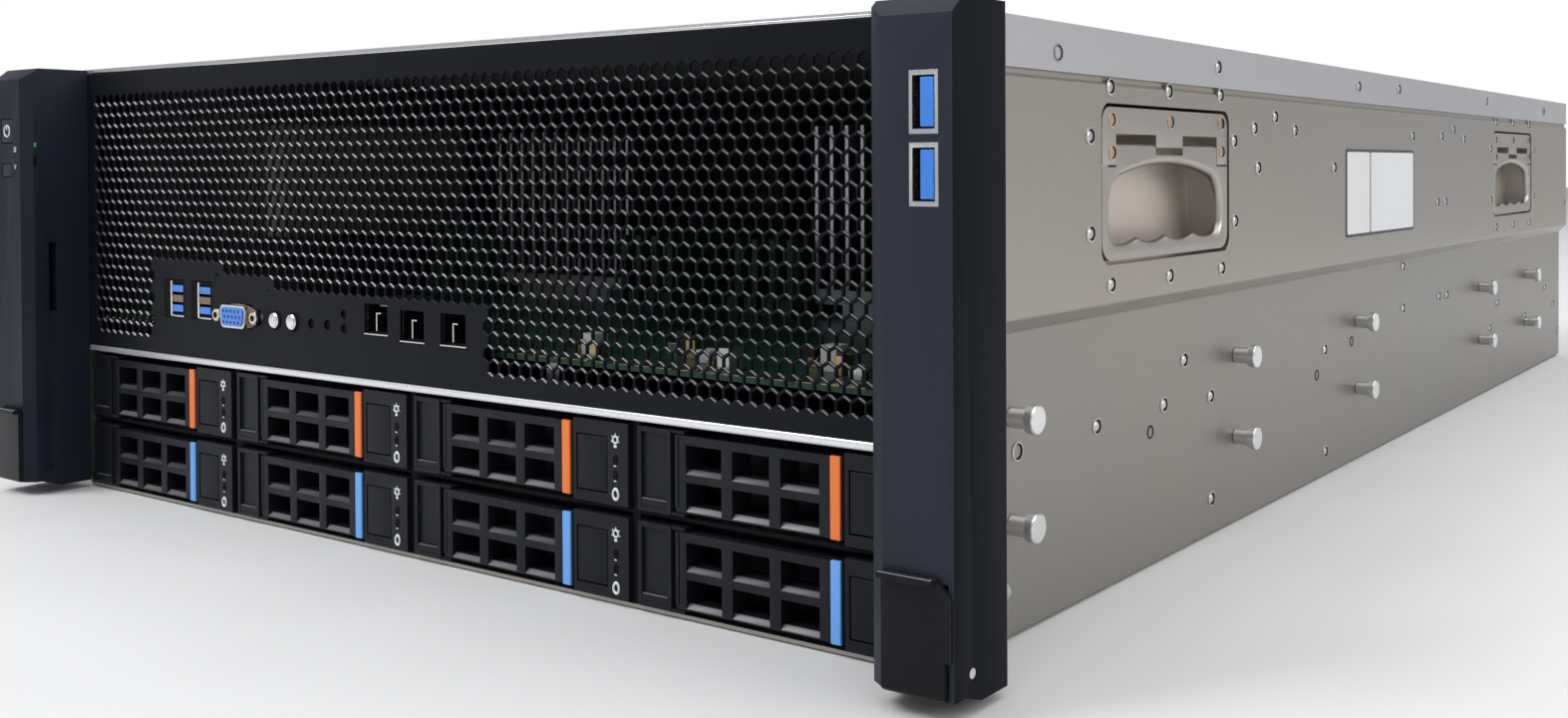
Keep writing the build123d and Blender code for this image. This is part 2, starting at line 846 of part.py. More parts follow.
# Carrying handle: a pressed plate with a finger opening, hung by its rounded top edge on a rod
handle_plate = 3.0
handle_setback = 0.4
handle_margin = 1.1
handle_corner = 6.0
hinge_block_low = 133.7
hinge_leg = 10.2
hinge_tab = 20.2
hinge_tab_low = 139.4
hinge_slot_top = 143.5
hinge_rod = 0.8
handle_axis_height = 138.9
tab_clearance = 2.0
grip_length = 84.0
grip_low = 110.4
grip_high = 134.0
grip_spring = 128.0
grip_shoulder = 10.0
grip_corner = 6.0
scallops = 4
scallop_depth = 1.6
plate_outer = upper_half - handle_setback
plate_inner = plate_outer - handle_plate
axis_x = plate_outer - handle_plate / 2
pan_floor = upper_half - sheet - pan_depth
scallop_half = grip_length / 2 / scallops
scallop_middles = [(2 * index + 1 - scallops) * scallop_half for index in range(scallops)]

with BuildPart() as handle:
    with BuildSketch(beside(plate_inner)) as plate_shape:
        half = pan_length / 2 - handle_margin
        rect(-half, half, pan_low + handle_margin, hinge_block_low - 2 * gap)
        fillet(plate_shape.vertices().group_by(Axis.Y)[0], radius=handle_corner)
        shoulder = pan_length / 2 - hinge_leg - gap
        rect(-shoulder, shoulder, hinge_block_low - over, handle_axis_height)
        notch = hinge_tab / 2 + gap
        rect(-notch, notch, handle_axis_height - tab_clearance, hinge_block_low + over, Mode.SUBTRACT)
    extrude(amount=handle_plate)
    with BuildSketch(beside(plate_outer)) as grip_shape:
        half = grip_length / 2
        with BuildLine():
            Line((half, grip_spring), (half, grip_low))
            for middle in scallop_middles:
                ThreePointArc(
                    (middle - scallop_half, grip_low),
                    (middle, grip_low - scallop_depth),
                    (middle + scallop_half, grip_low),
                )
            Line((-half, grip_low), (-half, grip_spring))
            ThreePointArc((-half, grip_spring), (0, grip_high), (half, grip_spring))
        make_face()
        foot = grip_shape.vertices().group_by(Axis.Y)[0].sort_by(Axis.X)
        fillet([foot[0], foot[-1]], radius=grip_corner)
        fillet(grip_shape.vertices().group_by(Axis.Y)[-1], radius=grip_shoulder)
    extrude(amount=-handle_plate, mode=Mode.SUBTRACT)
    for start, end in ((-shoulder, -notch), (notch, shoulder)):
        with BuildSketch(Plane.XZ.offset(-start)):
            with Locations((axis_x, handle_axis_height)):
                Circle(handle_plate / 2)
        extrude(amount=start - end)
        with BuildSketch(Plane.XZ.offset(-start)):
            with Locations((axis_x, handle_axis_height)):
                Circle(hinge_rod + slack)
        extrude(amount=start - end, mode=Mode.SUBTRACT)

# Handle pan: a dish behind the wall opening, with the hinge block and its two rods
with BuildPart() as pan:
    with BuildSketch(beside(upper_half - sheet)):
        with Locations((0, pan_middle_height)):
            Rectangle(pan_length + 2 * pan_flange, pan_height + pan_flange)
    extrude(amount=-sheet)
    with BuildSketch(beside(upper_half - sheet)):
        with Locations((0, pan_middle_height)):
            Rectangle(pan_length + 2 * sheet, pan_height + 2 * sheet)
    extrude(amount=-pan_depth - sheet)
    with BuildSketch(beside(upper_half)):
        with Locations((0, pan_middle_height)):
            RectangleRounded(pan_length, pan_height, pan_corner)
    extrude(amount=-pan_depth - sheet, mode=Mode.SUBTRACT)
    with BuildSketch(beside(pan_floor)) as block_shape:
        half = pan_length / 2 - handle_margin
        top = pan_low + pan_height - handle_margin
        rect(-half, half, hinge_slot_top, top)
        fillet(block_shape.vertices().group_by(Axis.Y)[-1], radius=pan_corner)
        rect(-half, -half + hinge_leg - handle_margin, hinge_block_low, hinge_slot_top)
        rect(half - hinge_leg + handle_margin, half, hinge_block_low, hinge_slot_top)
        rect(-hinge_tab / 2, hinge_tab / 2, hinge_tab_low, hinge_slot_top)
    extrude(amount=plate_outer - pan_floor)
    for side in (-1, 1):
        with BuildSketch(Plane.XZ.offset(-side * (pan_length / 2 - hinge_leg + gap))):
            with Locations((axis_x, handle_axis_height)):
                Circle(hinge_rod)
        extrude(amount=side * (pan_length / 2 - hinge_leg - hinge_tab / 2 + 2 * gap))

handle_names = (("handle_front", pan_middles[0]), ("handle_rear", pan_middles[1]))
pans = []
for name, middle in handle_names:
    right_handle = handle.part.moved(Location((0, middle, 0)))
    right_handle.label = f"{name}_right"
    export_step(right_handle, f"parts/{name}_right.step")
    left_handle = mirror(right_handle, about=Plane.YZ)
    left_handle.label = f"{name}_left"
    export_step(left_handle, f"parts/{name}_left.step")
    right_pan = pan.part.moved(Location((0, middle, 0)))
    pans += [right_pan, mirror(right_pan, about=Plane.YZ)]
export_step(Compound(label="handle_pans", children=pans), "parts/handle_pans.step")

# Board trays: the front tray carries the motherboard and fan wall, the rear shelf carries the cards
tray_low = cage_ceiling + sheet
tray_top = tray_low + sheet
tray_start = cage_start + strip_depth + gap
tray_half = cage_half
board_side_margin = 11.6
board_half = tray_half - board_side_margin
board_start = 6.0
board_end = 303.0
post_size = 6.0
post_depths = [14.0, 105.0, 200.0, 295.0]
inner_post = 60.0
outer_post_margin = 7.0
post_offsets = [inner_post, board_half - outer_post_margin]
fan_wall_depth = 345.0
shelf_start = 380.0
card_board_post = 2.0
card_board_start = 470.0
shelf_end = body_depth - sheet - gap

with BuildPart() as front_tray:
    with BuildSketch(level(tray_low)):
        rect(-tray_half, tray_half, rack_y + tray_start, rack_y + fan_wall_depth + sheet)
    extrude(amount=sheet)
    with BuildSketch(level(tray_top)):
        for depth in post_depths:
            for offset_x in post_offsets:
                with Locations((offset_x, rack_y + depth), (-offset_x, rack_y + depth)):
                    Rectangle(post_size, post_size)
    extrude(amount=board_top - board_thickness - tray_top)

with BuildPart() as rear_shelf:
    with BuildSketch(level(tray_low)):
        rect(-leg_outer, leg_outer, rack_y + shelf_start, rack_y + shelf_end)
    extrude(amount=sheet)
    with BuildSketch(level(tray_top)):
        for depth in (card_board_start + post_size, shelf_end - post_size):
            for offset_x in post_offsets:
                with Locations((offset_x, rack_y + depth), (-offset_x, rack_y + depth)):
                    Rectangle(post_size, post_size)
    extrude(amount=card_board_post)

tray_group = Compound(label="board_trays", children=[front_tray.part, rear_shelf.part])
export_step(tray_group, "parts/board_trays.step")

# Cards at the rear: double-width cards in slots on their own board
card_count = 8
card_slot_pitch = 40.64
card_width = 37.0
card_length = 267.0
card_top_margin = 2.5
slot_height = 11.0
slot_width = 7.5
slot_length = 89.0
vent_count = 5
vent_width = 3.5
vent_depth = 3.0
card_margin = 5.0
card_board_top = tray_top + card_board_post + board_thickness
card_low = card_board_top + slot_height + gap
card_high = chassis_height - card_top_margin
card_end = body_depth - sheet - gap
card_middles = [card_slot_pitch * (index - (card_count - 1) / 2) for index in range(card_count)]

# Motherboard with its memory modules, and the board that the cards plug into
memory_length = 133.35
memory_height = 31.0
memory_blade = 3.0
memory_socket = 6.4
socket_height = 7.0
memory_start = 140.0
memory_per_side = 4
board_edge_margin = 23.3
board_middle_margin = 16.3
processor_clear = 50.0
processor_half = (board_half - board_edge_margin - board_middle_margin) / 2
processor_middle = board_middle_margin + processor_half
processor_middles = [-processor_middle, processor_middle]
memory_room = processor_half - processor_clear - memory_socket / 2
memory_pitch = memory_room / (memory_per_side - 1)
memory_middles = [
    middle + side * (processor_clear + memory_pitch * index)
    for middle in processor_middles
    for side in (-1, 1)
    for index in range(memory_per_side)
]

with BuildPart() as motherboard:
    with BuildSketch(level(board_top - board_thickness)):
        rect(-board_half, board_half, rack_y + board_start, rack_y + board_end)
    extrude(amount=board_thickness)

with BuildPart() as memory:
    start = rack_y + memory_start
    with BuildSketch(level(board_top)):
        for x in memory_middles:
            rect(x - memory_socket / 2, x + memory_socket / 2, start, start + memory_length)
    extrude(amount=socket_height)
    with BuildSketch(level(board_top + socket_height)):
        for x in memory_middles:
            end = start + memory_length - memory_blade
            rect(x - memory_blade / 2, x + memory_blade / 2, start + memory_blade, end)
    extrude(amount=memory_height - socket_height)

with BuildPart() as card_board:
    with BuildSketch(level(card_board_top - board_thickness)):
        rect(-board_half, board_half, rack_y + card_board_start, rack_y + card_end)
    extrude(amount=board_thickness)

with BuildPart() as card_slots:
    with BuildSketch(level(card_board_top)):
        for x in card_middles:
            start = rack_y + card_end - slot_length - slot_length
            rect(x - slot_width / 2, x + slot_width / 2, start, start + slot_length)
    extrude(amount=slot_height)

board_group = Compound(
    label="motherboard",
    children=[motherboard.part, memory.part, card_board.part, card_slots.part],
)
export_step(board_group, "parts/motherboard.step")

with BuildPart() as cards:
    with BuildSketch(facing(card_end)):
        for x in card_middles:
            rect(x - card_width / 2, x + card_width / 2, card_low, card_high)
    extrude(amount=card_length)
    vent_pitch = (card_width - 2 * card_margin) / vent_count
    with BuildSketch(facing(card_end)):
        for x in card_middles:
            for index in range(vent_count):
                middle = x + (index - (vent_count - 1) / 2) * vent_pitch
                half = vent_width / 2
                low = card_low + 2 * card_margin
                rect(middle - half, middle + half, low, card_high - 2 * card_margin)
    extrude(amount=vent_depth, mode=Mode.SUBTRACT)
cards.part.label = "gpu_cards"
export_step(cards.part, "parts/gpu_cards.step")

# Processor heatsinks: a foot on the socket and upright fins along the air path
sink_width = 88.0
sink_length = 106.0
sink_start = 152.0
sink_foot_width = 60.0
sink_foot = 5.0
sink_base = 6.0
sink_top = 150.0
fin_count = 12
fin_thickness = 1.6

with BuildPart() as heatsinks:
    with BuildSketch(facing(sink_start)):
        for middle in processor_middles:
            half = sink_width / 2
            foot = sink_foot_width / 2
            rect(middle - foot, middle + foot, board_top, board_top + sink_foot)
            base_low = board_top + sink_foot
            rect(middle - half, middle + half, base_low, base_low + sink_base)
            fin_pitch = (sink_width - fin_thickness) / (fin_count - 1)
            for index in range(fin_count):
                left = middle - half + index * fin_pitch
                rect(left, left + fin_thickness, base_low, sink_top)
    extrude(amount=-sink_length)
heatsinks.part.label = "cpu_heatsinks"
export_step(heatsinks.part, "parts/cpu_heatsinks.step")

# Fan wall: a sheet with three ducts, a square frame in front of each and a spider that holds the shaft
fan_count = 3
fan_side_margin = 19.6
fan_pitch = 2 * (tray_half - fan_side_margin) / fan_count
fan_size = 92.0
fan_depth = 38.0
fan_height = 118.0
duct_radius = 44.0
hub_radius = 17.5
spider_depth = 3.0
spoke_width = 3.0
shaft_radius = 2.0
blade_count = 7
blade_chord = 26.0
blade_thickness = 1.8
blade_camber = 3.0
blade_pitch = 38.0
blade_root = 15.0
blade_tip_inset = 3.0
rotor_length = 27.0
fan_middles = [fan_pitch * (index - (fan_count - 1) / 2) for index in range(fan_count)]
fan_wall_top = rim_height - 2 * sheet
fan_places = [(x, fan_height) for x in fan_middles]

with BuildPart() as fan_sheet:
    with BuildSketch(facing(fan_wall_depth)):
        rect(-tray_half, tray_half, tray_top, fan_wall_top)
        with Locations(*fan_places):
            Rectangle(2 * duct_radius, 2 * duct_radius, mode=Mode.SUBTRACT)
    extrude(amount=-sheet)

with BuildPart() as fan_frames:
    with BuildSketch(facing(fan_wall_depth)):
        with Locations(*fan_places):
            Rectangle(fan_size, fan_size)
            Circle(duct_radius, mode=Mode.SUBTRACT)
    extrude(amount=fan_depth)
    with BuildSketch(facing(fan_wall_depth)):
        with Locations(*fan_places):
            Rectangle(2 * duct_radius + spoke_width, spoke_width, rotation=45)
            Rectangle(2 * duct_radius + spoke_width, spoke_width, rotation=-45)
            Circle(hub_radius)
    extrude(amount=spider_depth)
    with BuildSketch(facing(fan_wall_depth)):
        with Locations(*fan_places):
            Circle(shaft_radius + slack)
    extrude(amount=fan_depth, mode=Mode.SUBTRACT)

fan_group = Compound(label="fan_wall", children=[fan_sheet.part, fan_frames.part])
export_step(fan_group, "parts/fan_wall.step")

with BuildPart() as blade:
    with BuildSketch(level(blade_root)):
        with BuildLine():
            half = blade_chord / 2
            thick = blade_thickness / 2
            Polyline(
                (-half, -thick),
                (0, blade_camber - thick),
                (half, -thick),
                (half, thick),
                (0, blade_camber + thick),
                (-half, thick),
                close=True,
            )
        make_face()
    extrude(amount=duct_radius - blade_tip_inset - blade_root)
pitched = blade.part.rotate(Axis.Z, 90 - blade_pitch)

with BuildPart() as rotor:
    with BuildSketch(Plane.XZ.offset(rotor_length / 2)):
        Circle(hub_radius)
    extrude(amount=-rotor_length)
    chamfer(rotor.edges().group_by(Axis.Y)[0], length=blade_camber)
    for index in range(blade_count):
        add(pitched.rotate(Axis.Y, index * 360 / blade_count))
    with BuildSketch(Plane.XZ.offset(-rotor_length / 2)):
        Circle(shaft_radius)
    extrude(amount=-spider_depth - gap)

rotor_depth = fan_wall_depth - spider_depth - gap - rotor_length / 2
for index, x in enumerate(fan_middles):
    name = f"fan_rotor_{index + 1}"
    placed = rotor.part.moved(Location((x, rack_y + rotor_depth, fan_height)))
    placed.label = name
    export_step(placed, f"parts/{name}.step")

# Power supply, in its own frame: x from its left side, y back from its rear face, z up from its bottom
supply_count = 2
supply_width = 73.5
supply_height = 40.0
supply_length = 185.0
supply_gap = 3.5
supply_pitch = supply_width + supply_gap
supply_side_margin = 13.8
supply_left = supply_side_margin - lower_half
supply_proud = 1.0
inlet_left = 16.0
inlet_width = 27.0
inlet_low = 8.0
inlet_height = 22.0
inlet_depth = 17.0
pull_left = 4.0
pull_width = 6.0
pull_low = 6.0
pull_high = 34.0
pull_bar = 4.0
fan_recess_middle = 52.0
fan_recess_radius = 9.0
fan_recess_depth = 4.0
catch_left = 66.0
catch_thickness = 3.0
catch_low = 11.0
catch_height = 18.0
catch_depth = 14.0
catch_reach = 12.0
catch_travel = 2.5

with BuildPart() as supply:
    with BuildSketch(Plane.XZ):
        rect(0, supply_width, 0, supply_height)
    extrude(amount=supply_length)
    with BuildSketch(Plane.XZ):
        rect(inlet_left, inlet_left + inlet_width, inlet_low, inlet_low + inlet_height)
    extrude(amount=inlet_depth, mode=Mode.SUBTRACT)
    with BuildSketch(Plane.XZ):
        with Locations((fan_recess_middle, supply_height / 2)):
            Circle(fan_recess_radius)
    extrude(amount=fan_recess_depth, mode=Mode.SUBTRACT)
    with BuildSketch(Plane.XZ):
        rect(
            catch_left - catch_travel - gap,
            catch_left + catch_thickness + gap,
            catch_low - gap,
            catch_low + catch_height + gap,
        )
    extrude(amount=catch_depth + gap, mode=Mode.SUBTRACT)
    with BuildSketch(beside(pull_left)):
        reach = supply_reach - supply_proud
        rect(0, reach, pull_low, pull_high)
        rect(-over, reach - pull_bar, pull_low + pull_bar, pull_high - pull_bar, Mode.SUBTRACT)
    extrude(amount=pull_width)

with BuildPart() as catch:
    with BuildSketch(Plane.XZ.offset(-catch_reach)):
        rect(catch_left, catch_left + catch_thickness, catch_low, catch_low + catch_height)
    extrude(amount=catch_reach + catch_depth)
    fillet(catch.edges().filter_by(Axis.X).group_by(Axis.Y)[-1], radius=catch_thickness)

for index in range(supply_count):
    place = Location((supply_left + index * supply_pitch, rear_y + supply_proud, row_low))
    placed = supply.part.moved(place)
    placed.label = f"power_supply_{index + 1}"
    export_step(placed, f"parts/power_supply_{index + 1}.step")
    placed = catch.part.moved(place)
    placed.label = f"supply_latch_{index + 1}"
    export_step(placed, f"parts/supply_latch_{index + 1}.step")

# Rear panel: windows for the cards, openings for the supplies and a perforated field
rear_field_rows = 2
rear_field_low = 19.0
rear_field_gap = 17.0
rear_field_margin = 21.5
rear_field_left = supply_left + supply_count * supply_pitch + rear_field_gap
rear_field_columns = int((lower_half - rear_field_margin - rear_field_left) / hole_pitch)
supply_high = row_low + supply_height

with BuildPart() as rear_panel:
    with BuildSketch(facing(body_depth - sheet)):
        with BuildLine():
            inner_low = lower_half - sheet - gap
            inner_high = upper_half - sheet - gap
            inner_top = inner_high - joggle
            corner = bend
            half_outline = [
                (inner_low - corner, sheet),
                (inner_low, sheet + corner),
                (inner_low, step_height),
                (inner_high, step_height + step_rise + corner),
                (inner_high, joggle_top - 3 * joggle),
                (inner_top, joggle_top - joggle),
                (inner_top, rim_height - sheet - corner),
                (inner_top - corner, rim_height - sheet - gap),
            ]
            Polyline(*half_outline, *[(-x, z) for x, z in reversed(half_outline)], close=True)
        make_face()
        for x in card_middles:
            half = card_width / 2 - card_margin / 2
            rect(x - half, x + half, card_low + card_margin, card_high - card_margin, Mode.SUBTRACT)
        for index in range(supply_count):
            left = supply_left + index * supply_pitch
            rect(left - gap, left + supply_width + gap, 0, supply_high + gap, Mode.SUBTRACT)
        rear_holes = [
            (
                rear_field_left + (column + row % 2 / 2) * hole_pitch,
                rear_field_low + row * row_spacing,
            )
            for row in range(rear_field_rows)
            for column in range(rear_field_columns)
        ]
        with Locations(*rear_holes):
            RegularPolygon(hole_tip, 6, rotation=30, mode=Mode.SUBTRACT)
    extrude(amount=-sheet)
rear_panel.part.label = "rear_panel"
export_step(rear_panel.part, "parts/rear_panel.step")
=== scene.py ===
import json
import math
import bpy
from mathutils import Matrix, Vector

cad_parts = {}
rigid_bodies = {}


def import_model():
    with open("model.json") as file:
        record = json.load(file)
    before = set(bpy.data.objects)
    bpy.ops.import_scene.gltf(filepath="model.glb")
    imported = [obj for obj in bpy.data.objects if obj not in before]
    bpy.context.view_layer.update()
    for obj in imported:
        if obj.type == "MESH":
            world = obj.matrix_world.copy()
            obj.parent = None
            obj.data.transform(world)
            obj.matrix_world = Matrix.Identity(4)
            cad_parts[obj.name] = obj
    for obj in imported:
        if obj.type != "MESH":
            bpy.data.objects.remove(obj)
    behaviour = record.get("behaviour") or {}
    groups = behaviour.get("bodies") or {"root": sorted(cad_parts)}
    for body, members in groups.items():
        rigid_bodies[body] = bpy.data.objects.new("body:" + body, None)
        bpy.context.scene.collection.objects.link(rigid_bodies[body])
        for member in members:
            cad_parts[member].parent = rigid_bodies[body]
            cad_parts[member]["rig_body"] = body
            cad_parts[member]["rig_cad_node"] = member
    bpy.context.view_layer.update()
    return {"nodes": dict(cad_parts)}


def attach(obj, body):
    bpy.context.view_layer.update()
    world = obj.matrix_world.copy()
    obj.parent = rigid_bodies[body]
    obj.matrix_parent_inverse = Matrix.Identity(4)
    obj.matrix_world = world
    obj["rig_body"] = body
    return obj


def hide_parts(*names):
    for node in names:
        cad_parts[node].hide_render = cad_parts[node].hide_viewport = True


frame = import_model()
scene = bpy.context.scene
mm = 0.001
fore_aft = (0, 1, 0)
crosswise = (1, 0, 0)

# Places shared with the solids, in millimetres
rack_y = -378.25
rear_y = 387.75
upper_half = 223.6
lower_half = 218.8
chassis_top = 175.5
ear_face = rack_y - 24.0
bay_pitch = 107.5
bay_lows = (1.6, 30.3)
bay_lefts = [bay_pitch * (column - 1.5) - 51.75 for column in range(4)]
pan_middles = (rack_y + 132.0, rack_y + 611.6)


# Finishes: grain and patch are in bumps per metre, the height of the relief is in metres
tone_detail = 4
tone_low = 0.3
tone_high = 0.7
relief_detail = 3
relief_strength = 0.35
brushed = (1, 0.08, 1)


def tint(tree, base, other, patch):
    """A colour that wanders between two tones over the piece."""
    nodes = tree.nodes
    place = nodes.new("ShaderNodeTexCoord")
    cloud = nodes.new("ShaderNodeTexNoise")
    cloud.inputs["Scale"].default_value = patch
    cloud.inputs["Detail"].default_value = tone_detail
    ramp = nodes.new("ShaderNodeValToRGB")
    ramp.color_ramp.elements[0].position = tone_low
    ramp.color_ramp.elements[1].position = tone_high
    ramp.color_ramp.elements[0].color = (*base, 1)
    ramp.color_ramp.elements[1].color = (*other, 1)
    tree.links.new(place.outputs["Object"], cloud.inputs["Vector"])
    tree.links.new(cloud.outputs["Fac"], ramp.inputs["Fac"])
    return ramp.outputs["Color"]


def finish(
    name, base, other, metal, rough, grain, height, rough_spread=0.08, stretch=(1, 1, 1), shine=0.5, patch=14
):
    """A finish with a wandering tone, uneven gloss and a fine relief."""
    material = bpy.data.materials.new(name)
    material.use_nodes = True
    tree = material.node_tree
    shader = tree.nodes["Principled BSDF"]
    shader.inputs["Metallic"].default_value = metal
    shader.inputs["Specular IOR Level"].default_value = shine
    tree.links.new(tint(tree, base, other, patch), shader.inputs["Base Color"])
    place = tree.nodes.new("ShaderNodeTexCoord")
    turn = tree.nodes.new("ShaderNodeMapping")
    turn.inputs["Scale"].default_value = stretch
    relief = tree.nodes.new("ShaderNodeTexNoise")
    relief.inputs["Scale"].default_value = grain
    relief.inputs["Detail"].default_value = relief_detail
    gloss = tree.nodes.new("ShaderNodeMapRange")
    gloss.inputs["To Min"].default_value = rough - rough_spread
    gloss.inputs["To Max"].default_value = rough + rough_spread
    bump = tree.nodes.new("ShaderNodeBump")
    bump.inputs["Strength"].default_value = relief_strength
    bump.inputs["Distance"].default_value = height
    tree.links.new(place.outputs["Object"], turn.inputs["Vector"])
    tree.links.new(turn.outputs["Vector"], relief.inputs["Vector"])
    tree.links.new(relief.outputs["Fac"], gloss.inputs["Value"])
    tree.links.new(gloss.outputs["Result"], shader.inputs["Roughness"])
    tree.links.new(relief.outputs["Fac"], bump.inputs["Height"])
    tree.links.new(bump.outputs["Normal"], shader.inputs["Normal"])
    return material


# The wall steel's broad warm tint is a painted reflection of the surroundings.
wall_steel_painted_reflection = finish(
    "wall_steel_painted_reflection", (0.385, 0.37, 0.355), (0.41, 0.375, 0.33), 1, 0.40, 900, 0.00002, 0.05, brushed, patch=2.5
)
# A darker copy of the wall steel for the lower wall: painted shade, with the same warm tint of painted
# reflection.
lower_wall_painted_shade = finish(
    "lower_wall_painted_shade", (0.305, 0.30, 0.29), (0.33, 0.31, 0.28), 1, 0.40, 900, 0.00002, 0.05, brushed, patch=2.5
)
cover_steel = finish(
    "cover_steel", (0.49, 0.49, 0.50), (0.53, 0.53, 0.54), 0.85, 0.44, 900, 0.00002, 0.05, brushed, patch=3
)
cage_steel = finish("cage_steel", (0.45, 0.46, 0.47), (0.52, 0.53, 0.54), 1, 0.36, 700, 0.00002)
handle_steel = finish(
    "handle_steel", (0.42, 0.395, 0.37), (0.46, 0.425, 0.39), 1, 0.34, 800, 0.00002, patch=5
)
# Pan floors: a lighter, warmer steel. The tone is their own; the extra lightness is painted light against the
# shade of the handle recess.
pan_steel = finish("pan_steel", (0.62, 0.57, 0.52), (0.68, 0.61, 0.54), 0.8, 0.42, 800, 0.00002, patch=5)
bright_steel = finish("bright_steel", (0.72, 0.73, 0.74), (0.80, 0.80, 0.80), 1, 0.22, 1500, 0.00001)
hem_white = finish("hem_white", (0.78, 0.79, 0.81), (0.84, 0.85, 0.86), 0.7, 0.30, 1500, 0.00001)
rivet_steel = finish("rivet_steel", (0.56, 0.55, 0.53), (0.64, 0.63, 0.61), 1, 0.28, 1500, 0.00001)
dark_zinc = finish("dark_zinc", (0.20, 0.20, 0.21), (0.26, 0.26, 0.27), 1, 0.36, 1500, 0.00001)
yellow_zinc = finish("yellow_zinc", (0.62, 0.36, 0.20), (0.70, 0.46, 0.28), 1, 0.30, 1500, 0.00001)
pale_brass = finish("pale_brass", (0.62, 0.56, 0.46), (0.72, 0.66, 0.55), 1, 0.26, 1500, 0.00001)
panel_paint = finish(
    "panel_paint", (0.0058, 0.0068, 0.0098), (0.0074, 0.0084, 0.0115), 0, 0.44, 2600, 0.00003, shine=0.09
)
# Painted highlight for the lower left edges of the holes in the grille.
hole_edge_highlight = finish(
    "hole_edge_highlight", (0.085, 0.088, 0.098), (0.125, 0.128, 0.138), 0.2, 0.30, 2600, 0.00001, shine=0.6
)
ear_plastic = finish(
    "ear_plastic", (0.0240, 0.0275, 0.0380), (0.0285, 0.0320, 0.0430), 0, 0.44, 3000, 0.00003, shine=0.08
)
# Darker copies of the ear plastic, painted shade: the left ear all over and the right ear's flanks.
left_ear_shade_plastic = finish(
    "left_ear_shade_plastic", (0.0110, 0.0140, 0.0220), (0.0135, 0.0170, 0.0260), 0, 0.44, 3000, 0.00003, shine=0.08
)
ear_flank_shade = finish(
    "ear_flank_shade", (0.0038, 0.0048, 0.0075), (0.0050, 0.0062, 0.0095), 0, 0.46, 3000, 0.00003, shine=0.07
)
carrier_plastic = finish(
    "carrier_plastic", (0.0075, 0.0085, 0.0120), (0.0095, 0.0105, 0.0145), 0, 0.42, 3000, 0.00003, shine=0.17
)
lever_plastic = finish(
    "lever_plastic", (0.0070, 0.0080, 0.0115), (0.0090, 0.0100, 0.0135), 0, 0.42, 3000, 0.00003, shine=0.19
)
release_plastic = finish(
    "release_plastic", (0.0075, 0.0085, 0.0120), (0.0095, 0.0105, 0.0145), 0, 0.42, 3000, 0.00003, shine=0.14
)
latch_plastic = finish(
    "latch_plastic", (0.0080, 0.0085, 0.0100), (0.0100, 0.0105, 0.0125), 0, 0.42, 3000, 0.00003, shine=0.12
)
# Painted highlights: lighter grey for the lower lever sills and the hinge step lips, dimmer for the upper
# lever sills.
sill_highlight = finish("sill_highlight", (0.095, 0.098, 0.105), (0.115, 0.118, 0.126), 0, 0.36, 3000, 0.00003)
sill_dim_highlight = finish("sill_dim_highlight", (0.030, 0.032, 0.037), (0.038, 0.040, 0.046), 0, 0.38, 3000, 0.00003, shine=0.4)
dark_plastic = finish("dark_plastic", (0.010, 0.010, 0.011), (0.014, 0.014, 0.015), 0, 0.45, 2500, 0.00003)
shadow_black = finish(
    "shadow_black", (0.003, 0.003, 0.004), (0.005, 0.005, 0.006), 0, 0.70, 1500, 0.00003, shine=0.1
)
rotor_grey = finish("rotor_grey", (0.10, 0.10, 0.10), (0.14, 0.14, 0.14), 0, 0.45, 1500, 0.00003)
orange_strip = finish("orange_strip", (0.80, 0.17, 0.025), (0.86, 0.20, 0.035), 0, 0.42, 2500, 0.00002)
blue_strip = finish("blue_strip", (0.12, 0.36, 0.84), (0.15, 0.41, 0.88), 0, 0.42, 2500, 0.00002)
socket_blue = finish("socket_blue", (0.035, 0.19, 0.66), (0.055, 0.24, 0.74), 0, 0.36, 2500, 0.00002)
# Dark blue of painted shade for the holes of the monitor socket.
socket_hole_shade = finish("socket_hole_shade", (0.006, 0.02, 0.12), (0.01, 0.03, 0.16), 0, 0.5, 2500, 0.00002)
shell_steel = finish("shell_steel", (0.60, 0.60, 0.60), (0.68, 0.68, 0.67), 1, 0.25, 1200, 0.00001)
shell_brown = finish("shell_brown", (0.20, 0.13, 0.09), (0.26, 0.18, 0.12), 0.4, 0.45, 1200, 0.00001)
mark_white = finish("mark_white", (0.70, 0.72, 0.74), (0.78, 0.80, 0.82), 0, 0.5, 2500, 0.00001)
lamp_green = finish("lamp_green", (0.03, 0.28, 0.06), (0.05, 0.36, 0.10), 0, 0.25, 2000, 0.00001)
board_green = finish("board_green", (0.012, 0.060, 0.034), (0.020, 0.080, 0.045), 0, 0.35, 900, 0.00002)
board_gold = finish("board_gold", (0.60, 0.46, 0.22), (0.72, 0.58, 0.32), 1, 0.30, 900, 0.00001)
fin_aluminium = finish("fin_aluminium", (0.62, 0.63, 0.64), (0.70, 0.71, 0.72), 1, 0.30, 700, 0.00001)
plate_white = finish("plate_white", (0.64, 0.645, 0.65), (0.68, 0.685, 0.69), 0, 0.45, 1800, 0.00001)
plate_grey = finish("plate_grey", (0.04, 0.04, 0.045), (0.05, 0.05, 0.055), 0, 0.5, 1800, 0.00001)
card_black = finish("card_black", (0.012, 0.012, 0.014), (0.018, 0.018, 0.020), 0, 0.38, 2000, 0.00003)
catch_red = finish("catch_red", (0.35, 0.06, 0.03), (0.42, 0.08, 0.04), 0, 0.35, 2000, 0.00002)


# Ways of working
def choose(*pieces):
    """Selects only these pieces, the first one active."""
    bpy.ops.object.select_all(action="DESELECT")
    for piece in pieces:
        piece.select_set(True)
    bpy.context.view_layer.objects.active = pieces[0]


